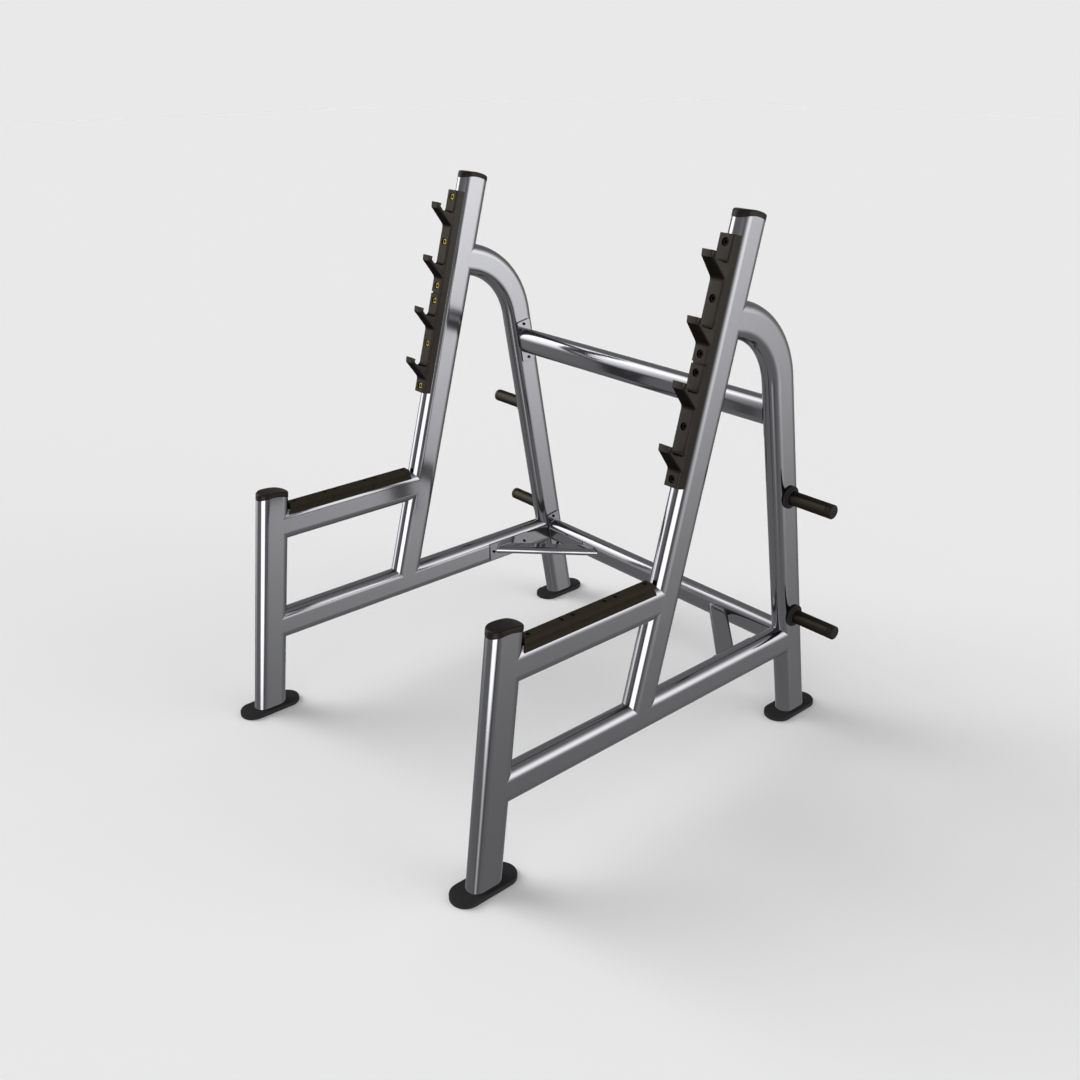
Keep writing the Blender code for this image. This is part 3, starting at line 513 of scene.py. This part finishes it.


# Of each finish: its colour's setting, its roughness, how metallic it is, how much light it mirrors where it
# is seen at a low angle, its grain's spots to a metre and height in metres, its mottling's spots to a metre,
# the share by which they change it, and how much darker the painted shade makes the faces marked for it.
SURFACES = {
    "metallic_paint": ("paint", 0.12, 1.0, 0.8, 1400, 0.000002, 30, 0.03, 0),
    "coated_casting": ("casting", 0.42, 0.9, 0.25, 700, 0.00008, 60, 0.15, 0.6),
    "black_rubber": ("rubber", 0.55, 0.0, 0.05, 1100, 0.0001, 45, 0.15, 0),
    "brown_rubber": ("pad", 0.6, 0.0, 0.0, 900, 0.0001, 40, 0.15, 0),
    "cap_plastic": ("plastic", 0.38, 0.4, 0.3, 1500, 0.00006, 50, 0.1, 0),
    "peg_coat": ("peg", 0.36, 0.7, 0.3, 800, 0.00004, 45, 0.12, 0),
    "yellow_zinc": ("zinc", 0.32, 0.85, 0.5, 600, 0.00003, 180, 0.2, 0),
    "black_oxide": ("oxide", 0.38, 0.7, 0.3, 900, 0.00003, 120, 0.15, 0),
}


def finish(key):
    """The finish of that name, made once."""
    setting, *values = SURFACES[key]
    base = tuple(getattr(settings().finishes, setting))
    return bpy.data.materials.get(key) or grained(key, base, *values)


def plan():
    """The middle lines of a side frame's tubes, as far as they are straight."""
    t, floor = settings().tubes, settings().trim.foot_thickness
    return SimpleNamespace(
        post=line(-t.foot_spacing / 2, floor, t.post_lean),
        leg=line(t.foot_spacing / 2, floor, -t.leg_lean),
        upright=line(t.upright_foot, t.lower_rail, t.upright_lean),
        lower=line(0, t.lower_rail, pi / 2),
        safety=line(0, t.safety_rail, pi / 2),
    )


def leg_y(height):
    """Where the rear leg's straight middle line passes a height."""
    leg = plan().leg
    return leg.at[0] + leg.along[0] / leg.along[1] * (height - leg.at[1])


# The painted steel


def leg_points(x, u, v):
    """The rear leg: up from the foot, round an arc that turns it square to the upright, and on to it.

    The arc starts as far below the knee, where the two straights' middle lines cross, as the bend's radius
    and turn ask.
    """
    t, leg, upright = settings().tubes, plan().leg, plan().upright
    arm = line(*(upright.at + t.arm_along * upright.along), t.upright_lean - pi / 2)
    knee = (arm.at - leg.at) @ arm.normal / (leg.along @ arm.normal)
    turn = pi / 2 - t.upright_lean - t.leg_lean
    start = knee - t.bend_radius * tan(turn / 2)
    centre = leg.at + start * leg.along - t.bend_radius * leg.normal
    rows = [on_line(leg, level_cut(leg, v, settings().trim.foot_thickness + GAP), v)]
    for a in np.linspace(0, turn, BEND_STEPS + 1):
        rows.append(on_line(line(*centre, -t.leg_lean - a), 0, t.bend_radius + v))
    rows.append(on_line(arm, cope(arm, u, v, upright, t.depth, 1), v))
    return at_x(x + u, np.array(rows))


def tube_grids(x):
    """The five tubes of one side frame, each as rows of points."""
    t, p = settings().tubes, plan()
    u, v = flat_oval(t.width, t.depth)
    top = arch_fall(t.end_arch, v)
    foot = level_cut(p.post, v, settings().trim.foot_thickness + GAP)
    bottom = cope(p.upright, u, v, p.lower, t.rail_depth, -1)
    grids = {
        "front_post": straight_tube(x, p.post, u, v, foot, t.post_length - top),
        "upright": straight_tube(x, p.upright, u, v, bottom, t.upright_length - top),
        "rear_leg": leg_points(x, u, v),
    }
    u, v = flat_oval(t.width, t.rail_depth)
    for name, rail, behind in (("lower_rail", p.lower, p.leg), ("safety_rail", p.safety, p.upright)):
        front = cope(rail, u, v, p.post, t.depth, 1)
        grids[name] = straight_tube(x, rail, u, v, front, cope(rail, u, v, behind, t.depth, -1))
    return grids


def beam_points(height):
    """A cross beam: its flat oval stands along the rear leg's line and runs from flange to flange."""
    t, p = settings().tubes, plan()
    u, v = flat_oval(t.beam_width, t.beam_depth)
    at = np.array((leg_y(height), height))
    outline = at + u[:, None] * p.leg.normal + v[:, None] * p.leg.along
    ends = np.array([corner.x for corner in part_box("upper_beam")])[:, None]
    return at_x(ends, outline[None])


def brace_points(sign):
    """A corner brace: a low flat oval run at 45 degrees from the plate's face to the beam's front.

    The end at the plate is cut by that plane. The end at the beam is found by moving each line's end to the
    beam's own flat oval, which stands still after a few steps.
    """
    t, p = settings().tubes, plan()
    inner = t.spacing / 2 - t.width / 2
    plate_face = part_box("right_brace_plate")[0].x - GAP
    beam_y = leg_y(t.lower_rail)
    start_y = beam_y - t.beam_width / 2 / cos(t.leg_lean) - t.brace_setback
    u, v = flat_oval(t.brace_thickness, t.brace_width, CROSS_STEPS // 2)
    run = np.array((-sin(pi / 4), cos(pi / 4)))
    side = np.array((cos(pi / 4), sin(pi / 4)))
    base = np.array((inner, start_y)) + v[:, None] * side
    z = t.lower_rail + u
    first = (plate_face - base[:, 0]) / run[0]
    radius = t.beam_width / 2
    straight = t.beam_depth / 2 - radius
    dy, steps = np.full_like(u, -radius), 8
    for _ in range(steps):
        up = dy * p.leg.along[0] + u * p.leg.along[1]
        over = np.maximum(np.abs(up) - straight, 0)
        across = -np.sqrt(np.maximum(radius * radius - over * over, 0)) - GAP
        dy = (across - u * p.leg.normal[1]) / p.leg.normal[0]
    last = (beam_y + dy - base[:, 1]) / run[1]
    ends = [base + s[:, None] * run for s in (first, last)]
    return np.array([in_space(sign * e[:, 0], e[:, 1], z) for e in ends])


class STAND_OT_tubes(bpy.types.Operator):
    """Build the painted tubes of both side frames, the cross beams and the corner braces"""

    bl_idname = "stand.tubes"
    bl_label = "Tubes"

    def execute(self, context):
        t, paint = settings().tubes, finish("metallic_paint")
        for side, sign in SIDES.items():
            for name, grid in tube_grids(frame_x(side)).items():
                build(f"{side}_{name}_tube", [grid], paint, (f"{side}_{name}",))
            build(f"{side}_brace_tube", [brace_points(sign)], paint, (f"{side}_corner_brace",))
        for name, height in (("upper_beam", t.upper_beam), ("lower_beam", t.lower_rail)):
            build(f"{name}_tube", [beam_points(height)], paint, (name,))
        return {"FINISHED"}


class STAND_OT_welds(bpy.types.Operator):
    """Build the weld beads where tubes meet tubes and plates"""

    bl_idname = "stand.welds"
    bl_label = "Weld beads"

    def execute(self, context):
        t, paint = settings().tubes, finish("metallic_paint")
        for side, sign in SIDES.items():
            x = frame_x(side)
            grids = tube_grids(x)
            curves = [grids["upright"][0], grids["rear_leg"][-1]]
            for rail in ("lower_rail", "safety_rail"):
                curves += [grids[rail][0], grids[rail][-1]]
            beads = [bead(c, t.bead, x, t.width / 2) for c in curves]
            beads += [bead(c, t.bead) for c in brace_points(sign)]
            build(f"{side}_weld_beads", beads, paint, looped=True)
        curves = [grid[row] for grid in map(beam_points, (t.upper_beam, t.lower_rail)) for row in (0, -1)]
        build("beam_weld_beads", [bead(c, t.bead) for c in curves], paint, looped=True)
        return {"FINISHED"}


class STAND_OT_plates(bpy.types.Operator):
    """Round the edges of the beams' flanges and the corner braces' plates"""

    bl_idname = "stand.plates"
    bl_label = "Plates"

    def execute(self, context):
        paint, edge = finish("metallic_paint"), 0.0007
        for side in SIDES:
            for name in ("upper_flange", "lower_flange", "brace_plate"):
                softened(f"{side}_{name}", f"{side}_{name}_plate", paint, edge)
        return {"FINISHED"}


# Trim


def cap_points(x, tube, peak):
    """An end cap: a wall that stands on the tube's arched end, a rounded edge and a crown.

    Every row is a flat oval offset inwards. The crown is a circular arch along v, and the wall's foot
    follows the tube's arch.
    """
    t, trim = settings().tubes, settings().trim
    width, depth = t.width + 2 * trim.cap_overhang, t.depth + 2 * trim.cap_overhang
    ledge, chamfer = 0.004, 0.0004
    rows = []

    def row(inset, height):
        u, v = flat_oval(width - 2 * inset, depth - 2 * inset)
        rows.append(at_x(x + u, on_line(tube, height(v), v)))

    def foot(v):
        return peak + GAP - arch_fall(t.end_arch + GAP, v)

    def crown(v):
        return peak + trim.cap_rise - arch_fall(trim.cap_crown, v)

    row(ledge, foot)
    row(chamfer, foot)
    row(0, lambda v: foot(v) + chamfer)
    for inset, drop in quarter(trim.cap_edge, 7):
        row(inset, lambda v, drop=drop: crown(v) - drop)
    for inset in np.linspace(trim.cap_edge, width / 2 - LAST_ROW, 8)[1:]:
        row(inset, crown)
    return np.array(rows)


def foot_points(x, y):
    """A foot: flat-oval rows from the floor's middle, out round the edges and back over the flat top."""
    trim = settings().trim
    chamfer, last = 0.0012, trim.foot_width / 2 - LAST_ROW
    steps = [(last, 0), (chamfer, 0), (0, chamfer)]
    steps += [(inset, trim.foot_thickness - drop) for inset, drop in quarter(trim.foot_round, 7)]
    steps.append((last, trim.foot_thickness))
    rows = []
    for inset, z in steps:
        u, v = flat_oval(trim.foot_width - 2 * inset, trim.foot_length - 2 * inset, FOOT_STEPS)
        rows.append(in_space(x + u, y + v, z))
    return np.array(rows)


class STAND_OT_feet_and_caps(bpy.types.Operator):
    """Build the rubber feet and the crowned end caps"""

    bl_idname = "stand.feet_and_caps"
    bl_label = "Feet and end caps"

    def execute(self, context):
        t, p = settings().tubes, plan()
        rubber, plastic = finish("black_rubber"), finish("cap_plastic")
        feet = (("front_foot", -t.foot_spacing / 2), ("rear_foot", t.foot_spacing / 2))
        caps = (("front_post_cap", p.post, t.post_length), ("upright_cap", p.upright, t.upright_length))
        for side in SIDES:
            for name, y in feet:
                node, grid = f"{side}_{name}", foot_points(frame_x(side), y)
                foot = build(f"{node}_pad", [grid], rubber, (node,))
                foot.visible_glossy = False
            for name, tube, peak in caps:
                node, grid = f"{side}_{name}", cap_points(frame_x(side), tube, peak)
                build(f"{node}_crown", [grid], plastic, (node,))
        return {"FINISHED"}


def peg_profiles():
    """A peg, its stop ring and its end cap, as radii and heights over the leg's side."""
    trim = settings().trim
    r, ring, hub, reach = trim.peg_radius, trim.collar_radius, trim.hub_radius, trim.peg_reach
    base, ring_top = reach - trim.peg_cap, GAP + trim.collar_width
    hub_top = ring_top + trim.hub_width
    ledge = 0.001
    peg = [(AXIS_RING, GAP), (r, GAP), (r, base - GAP), (r - ledge, base - GAP)]

    chamfer, edge, fillet = 0.0008, 0.0012, 0.0006
    collar = [
        (r + GAP, GAP), (ring - chamfer, GAP), (ring, GAP + chamfer), *rim(ring, ring_top, edge),
        (hub + fillet, ring_top), (hub, ring_top + fillet), *rim(hub, hub_top, edge), (r + GAP, hub_top),
    ]

    ledge, chamfer, edge = 0.002, 0.0004, 0.0045
    groove, half, depth = base + 0.0030, 0.0008, 0.0009
    cap = [
        (r - ledge, base), (r - chamfer, base), (r, base + chamfer),
        (r, groove - half), (r - depth, groove), (r, groove + half),
        *rim(r, reach, edge, 8), (AXIS_RING, reach),
    ]
    return peg, collar, cap


class STAND_OT_pegs(bpy.types.Operator):
    """Build the plate pegs with their stop rings and end caps"""

    bl_idname = "stand.pegs"
    bl_label = "Plate pegs"

    def execute(self, context):
        t, trim = settings().tubes, settings().trim
        pieces = (
            ("bar", "peg_coat", "peg_paint", ""),
            ("stop_ring", "black_rubber", "collar_rubber", "_collar"),
            ("end", "cap_plastic", "peg_cap_plastic", "_cap"),
        )
        for side, sign in SIDES.items():
            for peg, height in (("upper_peg", trim.upper_peg), ("lower_peg", trim.lower_peg)):
                origin = np.array((sign * (t.spacing / 2 + t.width / 2), leg_y(height), height))
                node = f"{side}_{peg}"
                for profile, (name, key, slot_name, ending) in zip(peg_profiles(), pieces):
                    grid = turned(profile, PEG_STEPS, origin, sign * Y_AXIS, Z_AXIS, sign * X_AXIS)
                    build(f"{node}_{name}", [grid], finish(key), (node + ending,))
        return {"FINISHED"}


def coped_pad(side):
    """Moves a front pad's front end towards the post's round rear side, the more the further out it is.

    The post's side is a half circle of the tube's width, and the end keeps an even distance from it, apart
    from the lips beside the rail, which come closer and lay dark rubber over the rail where it lies in the
    post's shade, as painted shade. Past a share of the half width the distance stays.
    """
    half, x, front = settings().tubes.width / 2, frame_x(side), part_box(f"{side}_front_pad")[0].y
    steep, end, lip = 0.88, 0.0005, 0.0055

    def moved(points):
        away = np.abs(points[:, 0] - x)
        near = np.minimum(away, steep * half)
        # The lips' extra reach lays dark rubber over the rail where there is only shade: painted shade.
        fall = half - np.sqrt(half * half - near * near) + np.where(away > half, lip, 0)
        points[:, 1] -= np.where(points[:, 1] < front + end, fall, 0)
        return points

    return moved


def inwards(across, down, old, new):
    """The share by which a corner's outline comes in when its rounding grows from the old to the new radius.

    Across and down are measured from the new rounding's centre. A line from there leaves the old outline at
    a flat side or at the old arc, and the new one at the new radius.
    """
    reach = np.maximum(np.hypot(across, down), 1e-9)
    c, s = across / reach, down / reach
    both, shift = c + s, new - old
    arc = shift * both + np.sqrt(np.maximum((shift * both) ** 2 - 2 * shift * shift + old * old, 0))
    flat = new / np.maximum(np.maximum(c, s), 1e-9)
    before = np.where(np.minimum(c, s) < shift / new * np.maximum(c, s), flat, arc)
    return np.where((across > 0) & (down > 0), np.maximum(1 - new / before, 0), 0)


def rounded_hooks(side):
    """Makes the noses and the lower edges of the hooks rounder than the solids have them.

    A point of a hook lies out from the casting's front and up from the hook's lip. Its underside slopes down
    from the nose to the root, and the roundings of the lower edges fade out towards the casting.
    """
    t, c, upright = settings().tubes, settings().castings, plan().upright
    x, face = frame_x(side), t.depth / 2 + c.thickness
    slope = np.arctan2(c.hook_root_drop - c.hook_nose, c.hook_reach)
    tops = (c.length / 2 - c.hook_drop, c.length / 2 - c.hook_spacing - c.hook_drop)
    lips = [middle + top for middle in casting_places() for top in tops]
    off_face, over_lip, under_root, fade = 0.0006, 0.002, 0.02, 0.02

    def moved(points):
        u, flat = points[:, 0] - x, points[:, 1:] - upright.at
        out = -(flat @ upright.normal) - face
        along = flat @ upright.along
        for lip in lips:
            up = along - lip
            on_hook = (out > off_face) & (up < over_lip) & (up > -c.hook_root_drop - under_root)

            wide = np.abs(u) - (c.hook_width / 2 - c.nose_round)
            deep = out - (c.hook_reach - c.nose_round)
            pull = on_hook * inwards(wide, deep, c.hook_edge, c.nose_round)
            u, out = u - np.sign(u) * wide * pull, out - deep * pull

            height = np.maximum((up + c.hook_root_drop - out * tan(slope)) * cos(slope), 0)
            wide = np.abs(u) - (c.hook_width / 2 - c.arm_round)
            deep = c.arm_round - height
            pull = on_hook * np.clip(out / fade, 0, 1) * inwards(wide, deep, c.hook_edge, c.arm_round)
            u = u - np.sign(u) * wide * pull
            out, along = out - deep * pull * sin(slope), along + deep * pull * cos(slope)
        return np.column_stack([x + u, on_line(upright, along, -(out + face))])

    return moved


def casting_places():
    """How far along the upright its two castings' middles lie, the upper one first."""
    t, c = settings().tubes, settings().castings
    upper = t.upright_length - c.top_inset - c.length / 2
    return upper, upper - c.length - c.joint


def spacer_points(x):
    """The spacer between two castings: their section, a little smaller, hollowed by the tube's half round.

    The outline goes up one side, round the two front corners and back along a circle round the tube.
    """
    t, c = settings().tubes, settings().castings
    half, edge = 0.026, 0.004
    front, back = t.depth / 2 + c.thickness - c.spacer_recess, t.depth / 2 - c.wrap
    middle, inner = (t.depth - t.width) / 2, t.width / 2 + GAP
    corner = np.linspace(0, pi / 2, 5)
    low = np.arcsin((back - middle) / inner)
    turn = np.linspace(pi - low, low, CROSS_STEPS)
    u = np.concatenate([half - edge + edge * np.cos(corner), -half + edge - edge * np.sin(corner),
                        [-half], inner * np.cos(turn), [half]])
    out = np.concatenate([front - edge + edge * np.sin(corner), front - edge + edge * np.cos(corner),
                          [back], middle + inner * np.sin(turn), [back]])
    upper, lower = casting_places()
    ends = np.array((lower + c.length / 2 + GAP, upper - c.length / 2 - GAP))
    return at_x(x + u, on_line(plan().upright, ends[:, None], -out[None, :]))


def mark_saddle_shade(mesh):
    """Marks the faces in the hooks' rear corners that face up and forwards, which the finish darkens as
    painted shade.
    """
    t, c, upright = settings().tubes, settings().castings, plan().upright
    least_out, least_up, least_ahead = -0.0004, 0.15, 0.05

    def of_faces(key):
        values = np.empty(len(mesh.polygons) * 3)
        mesh.polygons.foreach_get(key, values)
        return values.reshape(-1, 3)[:, 1:]

    out = -((of_faces("center") - upright.at) @ upright.normal) - t.depth / 2 - c.thickness
    up, ahead = of_faces("normal") @ upright.along, -of_faces("normal") @ upright.normal
    marked = (out > least_out) & (out < c.soiled_reach) & (up > least_up) & (ahead > least_ahead)
    soil = mesh.attributes.new("soil", "FLOAT", "FACE")
    soil.data.foreach_set("value", marked.astype(np.float32))


class STAND_OT_castings(bpy.types.Operator):
    """Round the edges of the hook castings and of the pads, and build the spacers between the castings"""

    bl_idname = "stand.castings"
    bl_label = "Hook castings and pads"

    def execute(self, context):
        iron, rubber = finish("coated_casting"), finish("brown_rubber")
        casting_edge, pad_edge = settings().castings.soft_edge, 0.0006
        for side in SIDES:
            for node in (f"{side}_upper_hook_casting", f"{side}_lower_hook_casting"):
                body = softened(node, f"{node}_body", iron, casting_edge,
                                smooth=46, limit=44, moved=rounded_hooks(side))
                # The hooks' rear corners are marked for painted shade.
                mark_saddle_shade(body.data)
            for name in PADS:
                node, moved = f"{side}_{name}", coped_pad(side) if name == "front_pad" else None
                softened(node, f"{node}_strip", rubber, pad_edge, moved=moved)
            build(f"{side}_casting_spacer", [spacer_points(frame_x(side))], iron)
        return {"FINISHED"}


def recess(socket, top, chamfer, depth, point):
    """A hexagonal recess in a screw's top, as radii and heights: its mouth, its walls and its floor."""

    def walls(turn):
        return hexagon(turn, socket)

    return [(socket * 1.22, top), (walls, top - chamfer), (walls, top - depth), (AXIS_RING, top - point)]


def socket_head(radius, height):
    """A socket screw's head as radii and heights: a rounded cylinder with a recess."""
    socket, edge = radius * 0.52, radius * 0.12
    return [(AXIS_RING, 0), (radius, 0), *rim(radius, height, edge),
            *recess(socket, height, socket * 0.14, radius * 0.55, radius * 0.60)]


def cup_screw(radius):
    """A screw sunk in a cup washer: up from the hole's floor, over the washer's rim and down to the head."""
    floor, wall, socket, head = -0.0057, 0.0037, 0.0018, -0.0034
    low, middle, high = GAP + 0.0003, GAP + 0.0004, GAP + 0.0009
    return [
        (AXIS_RING, floor), (wall, floor), (wall, GAP), (radius, GAP), (radius, low),
        (wall + 0.0004, high), (wall - 0.0006, middle), (wall - 0.0008, head),
        *recess(socket, head, 0.0003, 0.0018, 0.0019),
    ]


def hook_bolts(side):
    """The heads of a side's hook bolts: three in each casting, on the floors of their counterbores."""
    t, trim, c, upright = settings().tubes, settings().trim, settings().castings, plan().upright
    along, out = np.array((0, *upright.along)), np.array((0, *-upright.normal))
    floor, height = t.depth / 2 + c.thickness - c.sink_depth, 0.0058
    head = socket_head(trim.hook_bolt, height)
    heads = []
    for middle in casting_places():
        for k in (-1, 0, 1):
            place = on_line(upright, middle + k * (c.length / 2 - c.sink_inset), -floor)
            heads.append(turned(head, HEAD_STEPS, np.array((frame_x(side), *place)), X_AXIS, along, out))
    return heads


def plate_bolts(side):
    """The heads of the bolts in a side's flange plates and in its corner brace's plate, two in each."""
    t, trim, sign = settings().tubes, settings().trim, SIDES[side]
    inner = sign * (t.spacing / 2 - t.width / 2)
    into, up = -sign * X_AXIS, np.array((0, *plan().leg.along))
    head_height, flange, plate = 0.0038, 0.0058, 0.0053
    head = socket_head(trim.plate_bolt, head_height)
    low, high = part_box(f"{side}_brace_plate")
    plates = [
        ((inner - sign * flange, leg_y(height), height), trim.flange_bolt_offset * up, np.cross(up, into), up)
        for height in (t.upper_beam, t.lower_rail)
    ]
    middle = inner - sign * plate, (low.y + high.y) / 2, t.lower_rail
    plates.append((middle, trim.brace_bolt_offset * Y_AXIS, -sign * Y_AXIS, Z_AXIS))
    return [turned(head, HEAD_STEPS, np.array(middle) + k * step, x_axis, y_axis, into)
            for middle, step, x_axis, y_axis in plates for k in (-1, 1)]


def pad_screws(side):
    """The screws of a side's pads, two in each."""
    t, c = settings().tubes, settings().castings
    screw, top = cup_screw(c.pad_screw), t.safety_rail + t.rail_depth / 2 + c.pad_height
    heads = []
    for name in PADS:
        low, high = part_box(f"{side}_{name}")
        for y in (low.y + c.pad_hole_inset, high.y - c.pad_hole_inset):
            origin = np.array((frame_x(side), y, top))
            heads.append(turned(screw, SCREW_STEPS, origin, X_AXIS, Y_AXIS, Z_AXIS))
    return heads


class STAND_OT_bolts(bpy.types.Operator):
    """Build the heads of the hook bolts, the plates' bolts and the pads' screws"""

    bl_idname = "stand.bolts"
    bl_label = "Bolts and screws"

    def execute(self, context):
        black = finish("black_oxide")
        # The hook bolts are the same on both frames: yellow zinc on the left, and on the right the black
        # finish as painted shade of their shaded counterbores.
        for side, plating_and_painted_shade in (("right", black), ("left", finish("yellow_zinc"))):
            build(f"{side}_hook_bolts", hook_bolts(side), plating_and_painted_shade)
            build(f"{side}_plate_bolts", plate_bolts(side), black)
            build(f"{side}_pad_screws", pad_screws(side), black)
        return {"FINISHED"}


# The stage

# By direction in degrees: the turn to the right of a look from the stand to the front, and the rise. A panel
# has the middle and half width of its turn, those of its rise, how square and how hard its edge is, and its
# strength. A panel of negative strength is a shade, which takes light away.
PANELS = (
    (37, 23, -8, 17, 4, 3, 5.1),
    (-62, 21, 20, 34, 4, 1, 5.4),
    (124, 28, 5, 24, 2, 1.2, 3.6),
    (6, 12, 0, 9, 2, 1.2, -0.25),
    (61, 9, -24, 12, 2, 1.2, -0.26),
    (79, 9, -5, 14, 2, 1.2, -0.22),
    (37, 9, -28, 10, 2, 1.2, 1.3),
    (20, 8, -24, 12, 2, 1.2, -0.2),
)


def studio_light():
    """The world: soft panels by direction for what it lights and mirrors, and the plain backdrop's colour."""
    s = settings().stage
    world = bpy.data.worlds.new("studio")
    world.use_nodes = True
    bpy.context.scene.world = world
    tree = world.node_tree
    tree.nodes.clear()
    link, add = tree.links.new, adder(tree)

    def reckon(operation, a, b=0.0):
        """A calculation with two numbers or sockets."""
        node = add("ShaderNodeMath", operation=operation)
        for k, value in enumerate((a, b)):
            if isinstance(value, (int, float)):
                node.inputs[k].default_value = value
            else:
                link(value, node.inputs[k])
        return node.outputs["Value"]

    way = add("ShaderNodeSeparateXYZ")
    link(add("ShaderNodeTexCoord").outputs["Generated"], way.inputs["Vector"])
    x, y, z = way.outputs
    turn = reckon("MULTIPLY", reckon("ARCTAN2", x, reckon("MULTIPLY", y, -1.0)), 180 / pi)
    rise = reckon("MULTIPLY", reckon("ARCSINE", z), 180 / pi)
    total = s.ambient
    for middle, half_width, middle_rise, half_height, square, edge, strength in PANELS:
        sides = []
        for value, centre, reach in ((turn, middle, half_width), (rise, middle_rise, half_height)):
            away = reckon("ABSOLUTE", reckon("DIVIDE", reckon("SUBTRACT", value, centre), reach))
            sides.append(reckon("POWER", away, square))
        fall = reckon("MULTIPLY", reckon("POWER", reckon("ADD", *sides), edge), -1.0)
        total = reckon("ADD", total, reckon("MULTIPLY", reckon("EXPONENT", fall), strength))

    light = add("ShaderNodeBackground", Color=(1, 1, 1, 1))
    link(total, light.inputs["Strength"])
    plain = add("ShaderNodeBackground", Color=(*s.backdrop, 1))
    mixed = add("ShaderNodeMixShader")
    link(add("ShaderNodeLightPath").outputs["Is Camera Ray"], mixed.inputs["Fac"])
    link(light.outputs["Background"], mixed.inputs[1])
    link(plain.outputs["Background"], mixed.inputs[2])
    link(mixed.outputs["Shader"], add("ShaderNodeOutputWorld").inputs["Surface"])


class STAND_OT_stage(bpy.types.Operator):
    """Set up the camera, the floor and the light"""

    bl_idname = "stand.stage"
    bl_label = "Stage"

    def execute(self, context):
        scene, s = context.scene, settings().stage
        lens = bpy.data.cameras.new("camera")
        lens.sensor_fit = "HORIZONTAL"
        lens.sensor_width = 36
        lens.lens = s.focal_pixels / s.picture * lens.sensor_width
        lens.shift_x = (s.picture / 2 - s.centre_x) / s.picture
        lens.shift_y = (s.centre_y - s.picture / 2) / s.picture
        lens.clip_end = 100
        camera = bpy.data.objects.new("camera", lens)
        scene.collection.objects.link(camera)
        camera.matrix_world = (
            Matrix.Translation(Vector(s.eye)) @ Matrix.Rotation(s.azimuth, 4, "Z")
            @ Matrix.Rotation(pi / 2 - s.elevation, 4, "X") @ Matrix.Rotation(s.roll, 4, "Z")
        )
        scene.camera = camera

        mesh = bpy.data.meshes.new("floor")
        corners = ((-1, -1), (1, -1), (1, 1), (-1, 1))
        mesh.from_pydata([(s.floor_reach * a, s.floor_reach * b, 0) for a, b in corners], [], [(0, 1, 2, 3)])
        material, shader = new_material("pale_floor")
        shader.inputs["Base Color"].default_value = (*s.floor, 1)
        shader.inputs["Roughness"].default_value = 0.9
        shader.inputs["Specular IOR Level"].default_value = 0.0
        mesh.materials.append(material)
        floor = bpy.data.objects.new("floor", mesh)
        floor.visible_glossy = False
        floor.visible_diffuse = False
        scene.collection.objects.link(floor)

        studio_light()
        scene.view_settings.view_transform = "Standard"
        return {"FINISHED"}


class STAND_PT_panel(bpy.types.Panel):
    """The stand's pieces, one button each"""

    bl_idname = "STAND_PT_panel"
    bl_label = "Squat Stand"
    bl_space_type = "VIEW_3D"
    bl_region_type = "UI"
    bl_category = "Squat Stand"

    def draw(self, context):
        for operator in OPERATORS:
            self.layout.operator(operator.bl_idname)
        for group_name in StandSettings.__annotations__:
            group = getattr(settings(), group_name)
            box = self.layout.box()
            box.label(text=group.bl_rna.name)
            for name in group.__annotations__:
                box.prop(group, name)


GROUPS = (TubeSizes, TrimSizes, CastingSizes, Finishes, StageSettings, StandSettings)
OPERATORS = (
    STAND_OT_stage, STAND_OT_tubes, STAND_OT_welds, STAND_OT_plates, STAND_OT_feet_and_caps, STAND_OT_pegs,
    STAND_OT_castings, STAND_OT_bolts,
)


def register():
    for cls in (*GROUPS, *OPERATORS, STAND_PT_panel):
        bpy.utils.register_class(cls)
    bpy.types.Scene.squat_stand = PointerProperty(
        type=StandSettings, name="Squat stand", description="Settings of the stand"
    )


def unregister():
    del bpy.types.Scene.squat_stand
    for cls in reversed((*GROUPS, *OPERATORS, STAND_PT_panel)):
        bpy.utils.unregister_class(cls)


def main():
    register()
    for name in ("stage", "tubes", "welds", "plates", "feet_and_caps", "pegs", "castings", "bolts"):
        if getattr(bpy.ops.stand, name)() != {"FINISHED"}:
            raise RuntimeError(f"{name} did not finish")


if __name__ == "__main__":
    main()
